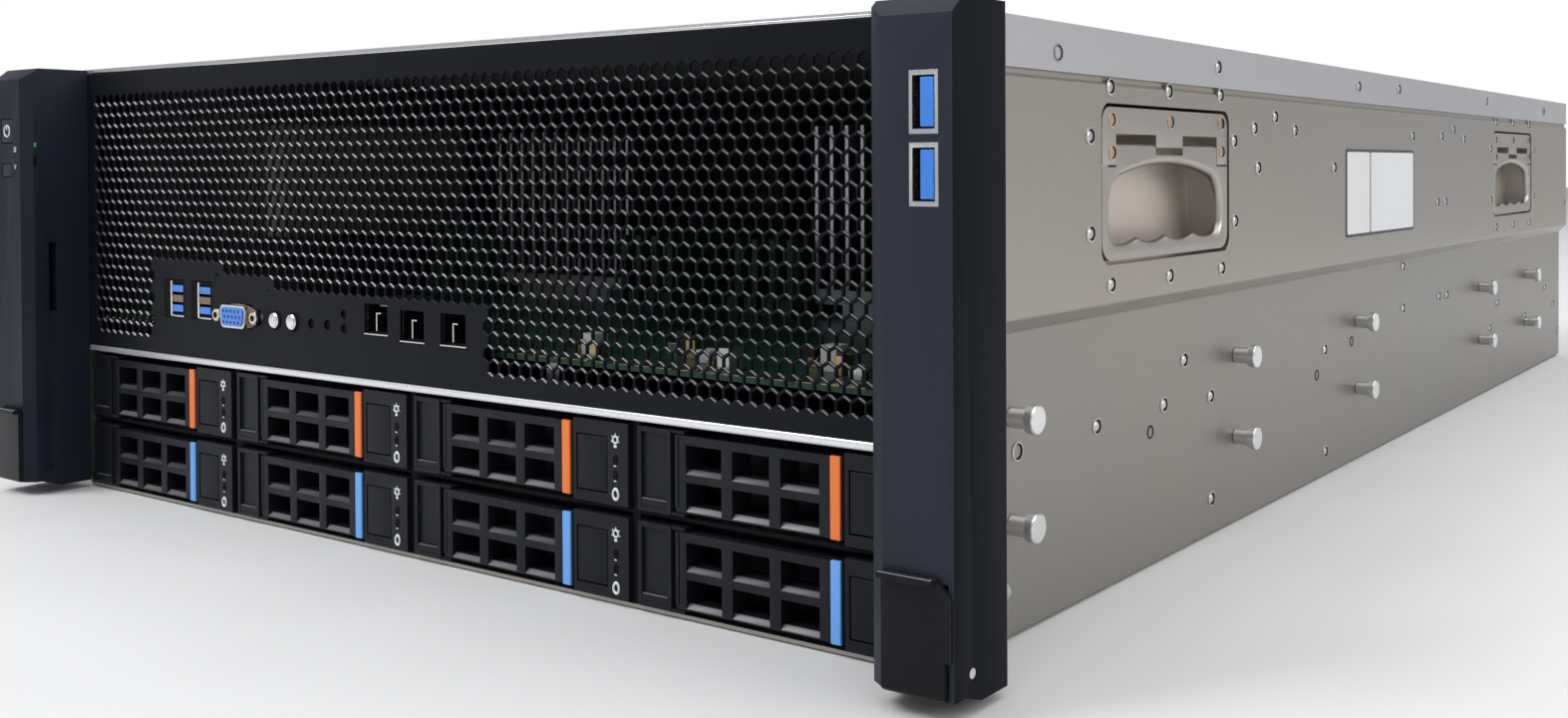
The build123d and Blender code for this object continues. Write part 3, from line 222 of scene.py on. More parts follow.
def named(name):
    """The piece that the last operator made, under its own name and settled in its mesh."""
    piece = bpy.context.active_object
    piece.name = name
    piece.data.name = name
    choose(piece)
    bpy.ops.object.transform_apply(location=True, rotation=True, scale=True)
    return piece


def worked(piece, kind, **settings):
    """Adds a modifier to a piece and applies it."""
    choose(piece)
    modifier = piece.modifiers.new("work", kind)
    for key, value in settings.items():
        setattr(modifier, key, value)
    bpy.ops.object.modifier_apply(modifier="work")
    return piece


def edged(piece, width, segments=2, angle=30):
    """Rounds the sharp edges, width in millimetres."""
    turn = math.radians(angle)
    return worked(piece, "BEVEL", width=width * mm, segments=segments, limit_method="ANGLE", angle_limit=turn)


def bar(name, low, high, edge=0.0, segments=2):
    """A block between two corners in millimetres, with rounded edges."""
    middle = [(a + b) / 2 * mm for a, b in zip(low, high)]
    size = [(b - a) * mm for a, b in zip(low, high)]
    bpy.ops.mesh.primitive_cube_add(size=1, location=middle, scale=size)
    piece = named(name)
    return edged(piece, edge, segments) if edge else piece


def rod(name, centre, direction, radius, length, sides=24, edge=0.0, segments=2):
    """A round bar about a centre in millimetres, with rounded ends."""
    turn = Vector(direction).to_track_quat("Z", "Y").to_euler()
    place = [value * mm for value in centre]
    bpy.ops.mesh.primitive_cylinder_add(
        vertices=sides, radius=radius * mm, depth=length * mm, location=place, rotation=turn
    )
    piece = named(name)
    return edged(piece, edge, segments) if edge else piece


def copied(piece, name, move=(0, 0, 0)):
    """A copy with its own mesh, moved by millimetres."""
    twin = piece.copy()
    twin.data = piece.data.copy()
    twin.name = name
    twin.data.name = name
    scene.collection.objects.link(twin)
    twin.data.transform(Matrix.Translation([value * mm for value in move]))
    return twin


def mirrored(piece, name):
    """A copy on the other side of the machine."""
    twin = copied(piece, name)
    twin.data.transform(Matrix.Diagonal((-1, 1, 1, 1)))
    twin.data.flip_normals()
    return twin


def joined(name, pieces):
    """Several pieces as one."""
    choose(*pieces)
    if len(pieces) > 1:
        bpy.ops.object.join()
    return named(name)


def cut(piece, *cutters):
    """Takes the cutters out of a piece."""
    cutter = joined("cutter", list(cutters))
    worked(piece, "BOOLEAN", operation="DIFFERENCE", object=cutter, solver="EXACT")
    bpy.data.objects.remove(cutter)
    return piece


def edit_all(piece):
    """Opens a piece in edit mode with all of it selected."""
    choose(piece)
    bpy.ops.object.mode_set(mode="EDIT")
    bpy.ops.mesh.select_all(action="SELECT")


def edit_where(piece, kind, test):
    """Opens a piece in edit mode with only the faces, edges or points that pass the test selected."""
    choose(piece)
    bpy.ops.object.mode_set(mode="EDIT")
    bpy.ops.mesh.select_mode(type=kind)
    bpy.ops.mesh.select_all(action="DESELECT")
    bpy.ops.object.mode_set(mode="OBJECT")
    parts = {"FACE": piece.data.polygons, "EDGE": piece.data.edges, "VERT": piece.data.vertices}
    for part in parts[kind]:
        part.select = bool(test(part))
    bpy.ops.object.mode_set(mode="EDIT")


def leave_edit():
    """Goes back to object mode."""
    bpy.ops.object.mode_set(mode="OBJECT")


def finished(piece, body, material, slot, *nodes):
    """Gives a piece its finish and body, and hides the nodes that it stands for."""
    if material:
        coloured(piece, material)
    choose(piece)
    bpy.ops.object.shade_smooth_by_angle(angle=math.radians(21))
    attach(piece, body)
    if nodes:
        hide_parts(*nodes)


def coloured(piece, material):
    """Gives a piece one finish all over."""
    piece.data.materials.clear()
    piece.data.materials.append(material)
    return piece


def partly(piece, material, test):
    """Gives the faces that pass the test another finish."""
    piece.data.materials.append(material)
    index = len(piece.data.materials) - 1
    for face in piece.data.polygons:
        if test(face):
            face.material_index = index
    return piece


def rounded_along(piece, axis, radius, segments):
    """Rounds the edges that run along one axis, radius in millimetres."""
    along = "XYZ".index(axis)

    def runs_along(edge):
        """Whether an edge keeps to the axis."""
        start, end = [piece.data.vertices[index].co for index in edge.vertices]
        run = (end - start).normalized()
        return abs(run[along]) > 0.95

    edit_where(piece, "EDGE", runs_along)
    bpy.ops.mesh.bevel(offset=radius * mm, segments=segments, affect="EDGES")
    leave_edit()
    return piece


def solid_copy(node):
    """A merged copy of a node's own shape, to be worked on."""
    solid = frame["nodes"][node]
    piece = solid.copy()
    piece.data = solid.data.copy()
    piece.parent = None
    piece.name = node + "_body"
    scene.collection.objects.link(piece)
    edit_all(piece)
    bpy.ops.mesh.remove_doubles(threshold=0.000002)
    bpy.ops.mesh.dissolve_limited(angle_limit=math.radians(0.5))
    leave_edit()
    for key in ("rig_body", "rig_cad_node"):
        if key in piece:
            del piece[key]
    return piece


def dressed(node, body, material, slot, width):
    """The node's own shape with its edges rounded, width in millimetres."""
    finished(edged(solid_copy(node), width, 2, 40), body, material, slot, node)


def painted(node, material):
    """Gives a node that keeps its own shape a better finish."""
    solid = frame["nodes"][node]
    solid.data.materials.clear()
    solid.data.materials.append(material)


# Perforated front panel
hole_pitch = 5.17
hole_flat = 4.2
hole_lip = 0.3
row_step = 4.48
top_row = 162.2
row_count = 22
long_count = 81
cell_tip = hole_pitch / math.sqrt(3)
panel_low = 59.8
panel_top = 173.2
panel_half = 214.7
panel_sheet = 1.2
panel_flange = 18.0
field_half = (long_count - 1) / 2 * hole_pitch + hole_flat / 2 + 0.35
field_top = top_row + 2.75
field_low = top_row - row_step * (row_count - 1) - 2.75

# The plain field around the sockets, which rises in steps to the left, and the openings in it
block_left = -162.6
first_step = -118.5
second_step = -84.0
block_right = 38.6
block_top = 95.8
block_steps = (
    (block_left, first_step, block_top),
    (first_step, second_step, 91.3),
    (second_step, block_right, 86.9),
)
hole_beside = 2.3
hole_above = 2.6
usb_middles = (-148.2, -128.6)
vga_middle = -103.8
vga_z = 77.5
vga_solid_reach = 5.5
vga_reach = 2.8
vga_shift = 1.4
vga_screws = (-114.9, -89.9)
button_middles = (-78.8, -67.7)
pinhole_middles = (-56.3, -46.4)
button_z = 77.2
lamp_x = -36.5
lamp_heights = (76.4, 81.6)
jack_places = ((-17.9, 74.5), (2.1, 73.1), (23.9, 73.1))
jack_half = 6.4
jack_low = 1.4
jack_high = 11.8


def over_block(x, z):
    """Whether a hole would touch the plain field around the sockets."""
    for left, right, top in block_steps:
        if left - hole_beside < x < right + hole_beside and z - hole_above < top:
            return True
    return False


def hexagon_cell(name):
    """One closed cell of the perforation."""
    bpy.ops.object.select_all(action="DESELECT")
    upright = (math.pi / 2, 0, 0)
    bpy.ops.mesh.primitive_circle_add(vertices=6, radius=cell_tip * mm, fill_type="NGON", rotation=upright)
    return named(name)


open_cell = hexagon_cell("open_cell")
edit_all(open_cell)
bpy.ops.mesh.inset(thickness=(hole_pitch - hole_flat) / 2 * mm)
bpy.ops.mesh.delete(type="FACE")
leave_edit()
closed_cell = hexagon_cell("closed_cell")
half_cell = hexagon_cell("half_cell")
edit_all(half_cell)
bpy.ops.mesh.bisect(plane_co=(0, 0, 0), plane_no=(0, 0, 1), clear_inner=True)
leave_edit()

# Rows of cells. Over the jacks only upper halves are laid, so that the openings keep straight tops
cell_kinds = {"open": open_cell, "closed": closed_cell, "half": half_cell}
neighbours = ((hole_pitch, 0), (-hole_pitch, 0), (hole_pitch / 2, row_step), (-hole_pitch / 2, row_step))
half_left = -40
half_right = block_right - 4
half_top = 89.0
cells = []
for row in range(-1, row_count + 1):
    count = long_count - row % 2
    z = top_row - row * row_step
    kinds = []
    for column in range(-1, count + 1):
        x = (column - (count - 1) / 2) * hole_pitch
        inside = 0 <= column < count and 0 <= row < row_count
        is_open = inside and not over_block(x, z)
        near = not inside or any(not over_block(x + dx, z + dz) for dx, dz in neighbours)
        shut = "half" if half_left < x < half_right and z < half_top else "closed"
        kinds.append((x, "open" if is_open else shut if near else "none"))
    start = 0
    for index in range(1, len(kinds) + 1):
        if index < len(kinds) and kinds[index][1] == kinds[start][1]:
            continue
        x, kind = kinds[start]
        if kind in cell_kinds:
            run = copied(cell_kinds[kind], "run", (x, rack_y, z))
            worked(
                run,
                "ARRAY",
                count=index - start,
                use_relative_offset=False,
                use_constant_offset=True,
                constant_offset_displace=(hole_pitch * mm, 0, 0),
            )
            cells.append(run)
        start = index
for cell in cell_kinds.values():
    bpy.data.objects.remove(cell)
perforation = joined("perforation", cells)
edit_all(perforation)
bpy.ops.mesh.remove_doubles(threshold=0.00004)
leave_edit()
worked(perforation, "SOLIDIFY", thickness=panel_sheet * mm, offset=-1)
edged(perforation, hole_lip, 1, 60)

# The plain border, with the field, the sockets and the buttons cut out
plate = bar("plate", (-panel_half, rack_y - 0.03, panel_low), (panel_half, rack_y + panel_sheet, panel_top))
over = 6.0
before = rack_y - over
behind = rack_y + over
field_lap = 96.5
fields = [
    bar("field", (-field_half, before, block_top), (field_half, behind, field_top)),
    bar("field", (-field_half, before, field_low), (block_left, behind, field_lap)),
    bar("field", (block_right, before, field_low), (field_half, behind, field_lap)),
    bar("field", (first_step, before, 92.2), (block_right + over, behind, field_lap)),
    bar("field", (second_step, before, 87.8), (block_right + over, behind, 92.0)),
]
for field in fields:
    cut(plate, field)
sockets = [bar("socket", (x - 7.4, before, 74.6), (x + 7.4, behind, 89.8)) for x in usb_middles]
sockets += [
    bar("socket", (x - jack_half, before, low + jack_low), (x + jack_half, behind, low + jack_high))
    for x, low in jack_places
]
sockets.append(bar("socket", (-111.5, before, 72.9), (-93.3, behind, 82.1), 1.5))
sockets += [rod("socket", (x, rack_y, vga_z), fore_aft, 2.9, 2 * over) for x in vga_screws]
sockets += [rod("socket", (x, rack_y, button_z), fore_aft, 3.2, 2 * over) for x in button_middles]
sockets += [rod("socket", (x, rack_y, button_z), fore_aft, 1.9, 2 * over) for x in pinhole_middles]
sockets += [rod("socket", (lamp_x, rack_y, z), fore_aft, 1.7, 2 * over) for z in lamp_heights]
cut(plate, *sockets)
flange_front = rack_y + 0.6
flange_back = rack_y + panel_flange
flanges = [
    bar("flange", (left, flange_front, low), (right, flange_back, panel_top), 0.3)
    for left, right, low in (
        (-panel_half, panel_half, panel_top - panel_sheet),
        (-panel_half, panel_sheet - panel_half, panel_low),
        (panel_half - panel_sheet, panel_half, panel_low),
    )
]
edged(plate, 0.15, 1, 60)
front_grille = coloured(joined("front_grille", [plate, perforation, *flanges]), panel_paint)
lip_area = 4e-6


def on_highlit_hole_edge(face):
    """Whether a face is the edge of a hole, low on its left side, that gets the painted highlight."""
    beside = not over_block(face.center.x / mm, face.center.z / mm)
    return face.normal.x > 0.15 and face.normal.z > 0.25 and face.area < lip_area and beside


partly(front_grille, hole_edge_highlight, on_highlit_hole_edge)
finished(front_grille, "chassis", None, "panel_paint", "front_panel")

# Solids that keep their own shape, with their edges rounded
# Wall faces below this height take the darker steel of painted shade.
painted_shade_top = 0.088
tub = coloured(edged(solid_copy("chassis_tub"), 0.35, 2, 50), wall_steel_painted_reflection)
partly(tub, lower_wall_painted_shade, lambda face: abs(face.normal.x) > 0.7 and face.center.z < painted_shade_top)
finished(tub, "chassis", None, "chassis_steel", "chassis_tub")
for name in ("top_cover_front", "top_cover_rear"):
    dressed(name, name, cover_steel, "cover_steel", 0.4)
# The right ear's flanks and the whole left ear take darker plastic, painted shade.
for node, face_finish, flank_shade_finish in (
    ("ear_housing_right", ear_plastic, ear_flank_shade),
    ("ear_housing_left", left_ear_shade_plastic, left_ear_shade_plastic),
):
    ear = coloured(edged(solid_copy(node), 0.7, 3, 40), face_finish)
    partly(ear, flank_shade_finish, lambda face: abs(face.normal.x) > 0.75)
    finished(ear, "chassis", None, "ear_plastic", node)
for name in ("power_button", "reset_button"):
    dressed(name, name, ear_plastic, "ear_button", 0.25)
dressed("rail_studs", "chassis", bright_steel, "stud_steel", 0.5)
# The cage's front faces low down are painted black: painted shadow.
cage_front = (rack_y + 3) * mm
cage_shade = 0.0575
cage = coloured(edged(solid_copy("drive_cage"), 0.1, 1, 60), cage_steel)
partly(
    cage,
    shadow_black,
    lambda face: face.normal.y < -0.5 and face.center.y < cage_front and face.center.z < cage_shade,
)
finished(cage, "chassis", None, "cage_steel", "drive_cage")
# The pan floors inside the handle openings take the lighter steel of painted light.
pans = coloured(edged(solid_copy("handle_pans"), 0.45, 3, 50), handle_steel)
partly(pans, pan_steel, lambda face: abs(face.center.x) < (upper_half - 10) * mm)
finished(pans, "chassis", None, "pan_steel", "handle_pans")


# The sockets' metal, with the monitor socket shortened so that it stands where the photo shows it
def on_usb_front(face):
    """Whether a face closes a USB socket towards the front; these faces get painted shade."""
    inside = -158 * mm < face.center.x < -119 * mm
    return inside and face.normal.y < -0.5 and face.center.z > 0.0760


def on_vga_nose(vertex):
    """Whether a point belongs to the part of the monitor socket that stands out of the panel."""
    place = vertex.co
    return -121 * mm < place.x < -86 * mm and place.z < 0.090 and place.y < (rack_y - 0.1) * mm


connectors = coloured(solid_copy("front_connectors"), shell_steel)
partly(connectors, shadow_black, on_usb_front)
edit_where(connectors, "VERT", on_vga_nose)
bpy.ops.transform.resize(value=(1, vga_reach / vga_solid_reach, 1), center_override=(0, rack_y * mm, 0))
bpy.ops.transform.translate(value=(vga_shift * mm, 0, 0))
leave_edit()
finished(edged(connectors, 0.15, 2, 50), "chassis", None, "connector_metal", "front_connectors")

# Solids that only get a better finish
for node, material in (
    ("board_trays", cage_steel),
    ("rack_brackets", cage_steel),
    ("identify_button", bright_steel),
    ("standby_button", bright_steel),
    ("restart_plunger", shadow_black),
    ("interrupt_plunger", shadow_black),
    ("motherboard", board_green),
    ("cpu_heatsinks", fin_aluminium),
    ("gpu_cards", card_black),
    ("fan_wall", dark_plastic),
    ("rear_panel", cage_steel),
    ("fan_rotor_1", rotor_grey),
    ("fan_rotor_2", rotor_grey),
    ("fan_rotor_3", rotor_grey),
    ("power_supply_1", cage_steel),
    ("power_supply_2", cage_steel),
    ("supply_latch_1", catch_red),
    ("supply_latch_2", catch_red),
):
    painted(node, material)

# Carrying handles: the finger opening has a curled rim
handle_outer = upper_half - 0.4
grip_half = 45.0
grip_low = 107.0
grip_high = 136.0
curl = 2.3


def on_grip_rim(handle, edge, sign, middle):
    """Whether an edge lies on the outer rim of a handle's finger opening."""
    ends = [handle.data.vertices[index].co / mm for index in edge.vertices]
    return all(
        abs(sign * end.x - handle_outer) < 0.05
        and abs(end.y - middle) < grip_half
        and grip_low < end.z < grip_high
        for end in ends
    )


for row, middle in zip(("front", "rear"), pan_middles):
    for side, sign in (("right", 1), ("left", -1)):
        node = "handle_%s_%s" % (row, side)
        handle = solid_copy(node)
        edit_where(handle, "EDGE", lambda edge: on_grip_rim(handle, edge, sign, middle))
        bpy.ops.mesh.bevel(offset=curl * mm, segments=5, affect="EDGES")
        leave_edit()
        edged(handle, 0.35, 2, 50)
        finished(handle, node, handle_steel, "handle_steel", node)

# Ear latches with a strip of painted highlight on their lip, and the end of their pin
for side in ("right", "left"):
    node = "ear_latch_" + side
    dressed(node, node, latch_plastic, "latch_plastic", 0.25)
    highlight_lip = bar("highlight_lip", (220.8, ear_face - 3.4, 34.55), (236.6, ear_face - 1.6, 34.95), 0.15)
    pin_end = rod("pin_end", (241.1, rack_y - 16, 10.2), crosswise, 1.35, 0.5, 16, 0.15)
    trim = joined("latch_trim_right", [coloured(highlight_lip, bright_steel), coloured(pin_end, bright_steel)])
    if side == "left":
        right_trim = trim
        trim = mirrored(right_trim, "latch_trim_left")
        bpy.data.objects.remove(right_trim)
    finished(trim, node, None, "latch_plastic")

# Drive carriers: one bay is modelled and copied to the others
bay_places = [(left, low) for left in bay_lefts for low in bay_lows]
first_left, first_low = bay_places[0]
face_y = rack_y + 0.5


def local(x, depth, z):
    """A place on the first carrier, from its left edge, its face and its bottom edge."""
    return (first_left + x, face_y + depth, first_low + z)


def to_bays(master, name, body, slot, node=None, other=None):
    """The master piece and its copies, one for each bay. Upper bays take the other finish, if given."""
    pieces = [master]
    for left, low in bay_places[1:]:
        pieces.append(copied(master, name, (left - first_left, 0, low - first_low)))
    for index, piece in enumerate(pieces, 1):
        piece.name = "%s_%d" % (name, index)
        material = other if other and index % 2 == 0 else None
        nodes = ["%s_%d" % (node, index)] if node else []
        finished(piece, "%s_%d" % (body, index), material, slot, *nodes)


carrier = edged(solid_copy("drive_carrier_1"), 0.3, 2, 40)
to_bays(coloured(carrier, carrier_plastic), "carrier_body", "drive_carrier", "carrier_grey", "drive_carrier")
release = edged(solid_copy("release_button_1"), 0.2, 2, 40)
coloured(release, release_plastic)
to_bays(release, "release_body", "release_button", "release_grey", "release_button")

# The lever's slopes that face up and forwards get a painted highlight, brighter below this height and dimmer
# above it.
sill_split = first_low + 9
lever = coloured(solid_copy("carrier_lever_1"), lever_plastic)
nose = bar("nose", local(15.2, 0.3, 2.4), local(17.2, 1.6, 24.1), 0.2)


def on_slope(face):
    """Whether a face of the lever leans up and forwards."""
    return face.normal.z > 0.4 and face.normal.y < -0.4


partly(lever, sill_highlight, lambda face: on_slope(face) and face.center.z / mm < sill_split)
partly(lever, sill_dim_highlight, lambda face: on_slope(face) and face.center.z / mm >= sill_split)
edged(lever, 0.22, 2, 40)
lever = joined("lever_body", [lever, coloured(nose, lever_plastic)])
to_bays(lever, "lever_body", "carrier_lever", "lever_black", "carrier_lever")
strip = bar("strip", local(74.45, -0.35, 1.2), local(78.0, 0.8, 24.3), 0.3)
to_bays(coloured(strip, blue_strip), "lever_strip", "carrier_lever", "lever_black", None, orange_strip)


def ring(name, place, radius, wire, material, high=1.0, sides=20, turn=0.0):
    """A flat ring facing forwards, in millimetres, that may be taller than it is wide."""
    middle = [value * mm for value in place]
    bpy.ops.mesh.primitive_torus_add(
        major_segments=sides,
        minor_segments=6,
        major_radius=radius * mm,
        minor_radius=wire * mm,
        location=middle,
        rotation=(math.pi / 2, turn, 0),
    )
    piece = named(name)
    edit_all(piece)
    bpy.ops.transform.resize(value=(1, 1, high), center_override=middle)
    leave_edit()
    return coloured(piece, material)


# Marks beside the lever: a bulb with rays, two lamps and a disk. Each lamp sits in a rim of painted shade,
# with a painted highlight under it.
mark_x = 98.1
bulb_z = 20.2
disk_z = 3.5
ray_reach = 1.75
bulb_base = bar("bulb_base", local(mark_x - 0.6, -0.2, 17.7), local(mark_x + 0.6, 0.2, 18.6), 0.15)
marks = [
    ring("bulb", local(mark_x, 0, bulb_z), 1.05, 0.32, mark_white),
    coloured(bulb_base, mark_white),
    ring("disk", local(mark_x, 0, disk_z), 1.2, 0.36, mark_white, 1.35, 14),
]
for angle in (-20, 35, 90, 145, 200):
    turn = math.radians(angle)
    across = ray_reach * math.cos(turn)
    up = ray_reach * math.sin(turn)
    low = local(mark_x + across - 0.2, -0.15, bulb_z + up - 0.2)
    high = local(mark_x + across + 0.2, 0.2, bulb_z + up + 0.2)
    marks.append(coloured(bar("ray", low, high, 0.1), mark_white))
for z in (13.9, 9.3):
    marks.append(ring("lamp_rim", local(mark_x, 0.05, z), 0.85, 0.25, shadow_black, 1.6, 14))
    lens = rod("lamp_lens", local(mark_x, 0.1, z), fore_aft, 0.75, 0.4, 14, 0.1)
    marks.append(coloured(lens, shadow_black))
    highlight_lip = bar("lamp_lip_highlight", local(mark_x - 0.65, -0.12, z - 2.0), local(mark_x + 0.35, 0.2, z - 1.55), 0.1)
    marks.append(coloured(highlight_lip, mark_white))
to_bays(joined("carrier_marks", marks), "carrier_marks", "drive_carrier", "carrier_grey")

step = coloured(bar("step", local(1.62, 0.04, 1.62), local(12.18, 1.0, 3.7), 0.15), carrier_plastic)
# A painted highlight along the top edge of the hinge step.
step_lip_highlight = coloured(bar("step_lip_highlight", local(1.8, 0.1, 3.6), local(12.0, 0.95, 3.95), 0.12), sill_highlight)
to_bays(joined("hinge_step", [step, step_lip_highlight]), "hinge_step", "drive_carrier", "carrier_grey")

# Sockets and round buttons under the grille
usb_inserts = []
for x in usb_middles:
    for z in (78.3, 86.1):
        tongue = bar("tongue", (x - 1.2, rack_y - 0.12, z - 1.35), (x + 6.3, rack_y + 9, z + 1.35), 0.25)
        usb_inserts.append(coloured(tongue, socket_blue))
    middle_band = bar("middle_band", (x - 1.2, rack_y - 0.1, 80.8), (x + 6.3, rack_y + 0.6, 83.6), 0.2)
    usb_inserts.append(coloured(middle_band, shell_brown))
    # A black bar of painted shadow in the opening left of each socket.
    well = bar("well", (x - 7.3, rack_y - 0.08, 75.0), (x - 2.3, rack_y + 0.3, 89.6), 0.15)
    usb_inserts.append(coloured(well, shadow_black))
    edge_strip = bar("edge_strip", (x - 2.4, rack_y - 0.35, 75.2), (x - 1.4, rack_y + 0.4, 89.2), 0.2)
    usb_inserts.append(coloured(edge_strip, bright_steel))
    low_lip = bar("low_lip", (x - 1.4, rack_y - 0.3, 75.0), (x + 7.0, rack_y + 0.4, 75.7), 0.15)
    usb_inserts.append(coloured(low_lip, shell_steel))
finished(joined("usb_inserts", usb_inserts), "chassis", None, "connector_metal")

vga_x = vga_middle + vga_shift
vga_front = rack_y - vga_reach
vga_centre = (vga_x * mm, vga_front * mm, vga_z * mm)
face_low = (vga_x - 7.5, vga_front - 0.5, vga_z - 3.5)
face_high = (vga_x + 7.5, vga_front + 1.0, vga_z + 3.5)
face_plate = bar("face_plate", face_low, face_high)
edit_where(face_plate, "VERT", lambda vertex: vertex.co.z < vga_z * mm)
bpy.ops.transform.resize(value=(0.87, 1, 1), center_override=vga_centre)
leave_edit()
rounded_along(face_plate, "Y", 1.7, 4)
edged(face_plate, 0.2, 2, 50)
monitor_socket = [coloured(face_plate, socket_blue)]
# Dark discs of painted shade for the fifteen holes of the socket, and black discs of painted shade in the
# holes of its screws.
for row in range(3):
    for column in range(5):
        x = vga_x + (column - 2) * 2.5 + (row % 2) * 0.9 - 0.4
        pin = rod("pin", (x, vga_front - 0.45, vga_z + (1 - row) * 2.1), fore_aft, 0.62, 0.3, 10, 0.08)
        monitor_socket.append(coloured(pin, socket_hole_shade))
for x in (vga_x - 12.5, vga_x + 12.5):
    collar = rod("collar", (x, rack_y - 2.0, vga_z), fore_aft, 2.35, 0.9, 24, 0.3)
    thread = rod("thread", (x, rack_y - 2.5, vga_z), fore_aft, 1.15, 0.2, 16, 0.05)
    monitor_socket += [coloured(collar, pale_brass), coloured(thread, shadow_black)]
skirt = rod("skirt", (vga_x, rack_y - 0.5, vga_z), fore_aft, 7.2, 0.9, 32, 0.3)
edit_all(skirt)
bpy.ops.transform.resize(value=(1.95, 1, 0.66), center_override=(vga_x * mm, rack_y * mm, vga_z * mm))
leave_edit()
monitor_socket.append(coloured(skirt, shell_brown))
finished(joined("monitor_socket", monitor_socket), "chassis", None, "connector_metal")

for name, x, dotted in (
    ("identify_button", button_middles[0], True),
    ("standby_button", button_middles[1], False),
):
    cap = [coloured(rod("cap", (x, rack_y - 1.05, button_z), fore_aft, 2.4, 0.35, 28, 0.15, 3), bright_steel)]
    if dotted:
        cap.append(ring("dot", (x, rack_y - 1.2, button_z), 1.1, 0.2, shell_steel))
    finished(joined(name + "_cap", cap), name, None, "button_metal")
# Rings of painted shadow in the gaps around the round buttons, discs of painted shadow in the pin holes, and
# dark lenses in the lamp holes.
dark_rings = [
    ring("well", (x, rack_y - 0.05, button_z), 3.45, 0.4, shadow_black, 1.0, 28) for x in button_middles
]
for x in pinhole_middles:
    pinhole = rod("pinhole", (x, rack_y + 1.0, button_z), fore_aft, 1.95, 0.5, 20, 0.1)
    dark_rings.append(coloured(pinhole, shadow_black))
for z in lamp_heights:
    lamp = rod("lamp", (lamp_x, rack_y + 0.9, z), fore_aft, 1.75, 0.5, 20, 0.1)
    dark_rings.append(coloured(lamp, shadow_black))
finished(joined("button_wells", dark_rings), "chassis", None, "panel_paint")

# Black liners in the jack openings stand for the jacks' dark plastic and for the shade inside them, painted
# shade.
jack_pieces = []
for index, (x, low) in enumerate(jack_places):
    bottom = low + jack_low
    top = low + jack_high
    left = x - jack_half
    right = x + jack_half
    for name, start, end in (
        ("liner_back", (left, rack_y + 9.5, bottom), (right, rack_y + 10.5, top)),
        ("liner_left", (left, rack_y + 1.3, bottom), (left + 0.3, rack_y + 9.5, top)),
        ("liner_right", (right - 0.3, rack_y + 1.3, bottom), (right, rack_y + 9.5, top)),
        ("liner_low", (left, rack_y + 1.3, bottom), (right, rack_y + 9.5, bottom + 0.3)),
        ("liner_top", (left, rack_y + 1.3, top - 0.3), (right, rack_y + 9.5, top)),
    ):
        jack_pieces.append(coloured(bar(name, start, end, 0.08, 1), shadow_black))
    for name, start, end in (
        ("tab_upright", (x - 2.9, rack_y + 2.0, bottom + 0.5), (x - 2.3, rack_y + 5.0, bottom + 6.6)),
        ("tab_across", (x - 2.9, rack_y + 2.0, bottom + 6.5), (x - 0.2, rack_y + 5.0, bottom + 7.1)),
        ("tab_right", (x + 3.9, rack_y + 2.0, bottom + 7.6), (x + 6.0, rack_y + 5.0, bottom + 8.2)),
        ("sill", (left - 0.3, rack_y - 0.12, low + 0.75), (right + 0.3, rack_y + 0.5, low + 1.25)),
    ):
        jack_pieces.append(coloured(bar(name, start, end, 0.1, 1), shell_steel))
    if index == 0:
        glow = bar("glow", (x - 1.2, rack_y + 2.5, top - 1.2), (x + 5.6, rack_y + 5.0, top - 0.4), 0.15)
        jack_pieces.append(coloured(glow, lamp_green))
finished(joined("jack_inserts", jack_pieces), "chassis", None, "connector_metal")

# A row of contacts close behind the lower left holes
bead_row = row_count - 2
bead_count = long_count - bead_row % 2
bead_z = top_row - bead_row * row_step - 0.9
beads = []
for column in range(bead_count):
    x = (column - (bead_count - 1) / 2) * hole_pitch
    if block_left - 8.5 * hole_pitch < x < block_left - hole_beside:
        bead = rod("bead", (x - 2.2, rack_y + 1.85, bead_z), fore_aft, 0.8, 1.2, 12, 0.25)
        beads.append(coloured(bead, pale_brass))
finished(joined("contact_beads", beads), "chassis", None, "connector_metal")

# Sockets in the right ear
ear_inserts = []
for low in (123.9, 141.4):
    tongue = bar("tongue", (231.9, ear_face - 0.02, low + 1.7), (235.9, ear_face + 9, low + 13.7), 0.25)
    ear_inserts.append(coloured(tongue, socket_blue))
    shade = bar("shade", (229.65, ear_face + 2.5, low + 1.25), (231.9, ear_face + 4.0, low + 14.15), 0.1)
    ear_inserts.append(coloured(shade, shadow_black))
    contact = bar("contact", (231.6, ear_face + 0.6, low + 2.6), (231.95, ear_face + 6, low + 12.8), 0.1)
    ear_inserts.append(coloured(contact, shell_steel))
finished(joined("ear_socket_inserts", ear_inserts), "chassis", None, "connector_metal")

# Symbols and lamps of the left ear
power_x = -230.7
power_z = 149.3
mark_column = -223.9
power_ring = ring("power_ring", (power_x, ear_face, power_z), 2.3, 0.28, mark_white, 1.0, 28)
gap = bar("opening", (power_x - 0.75, ear_face - 2, power_z), (power_x + 0.75, ear_face + 2, power_z + 4))
cut(power_ring, gap)
stroke_low = (power_x - 0.24, ear_face - 0.22, power_z + 0.4)
stroke_high = (power_x + 0.24, ear_face + 0.2, power_z + 2.7)
power_bar = bar("power_bar", stroke_low, stroke_high, 0.12)
power_mark = joined("power_symbol", [coloured(power_ring, mark_white), coloured(power_bar, mark_white)])
finished(power_mark, "power_button", None, "ear_button")
ear_marks = [
    ring("square_mark", (mark_column, ear_face + 0.1, 141.6), 0.95, 0.24, mark_white, 1.25, 4, math.pi / 4),
    ring("triangle_mark", (mark_column, ear_face + 0.1, 134.7), 1.0, 0.22, mark_white, 1.0, 3, math.pi / 2),
]
ear_lamp = bar("lamp", (-215.1, rack_y - 20.9, 142.6), (-214.85, rack_y - 19.9, 144.4), 0.1)
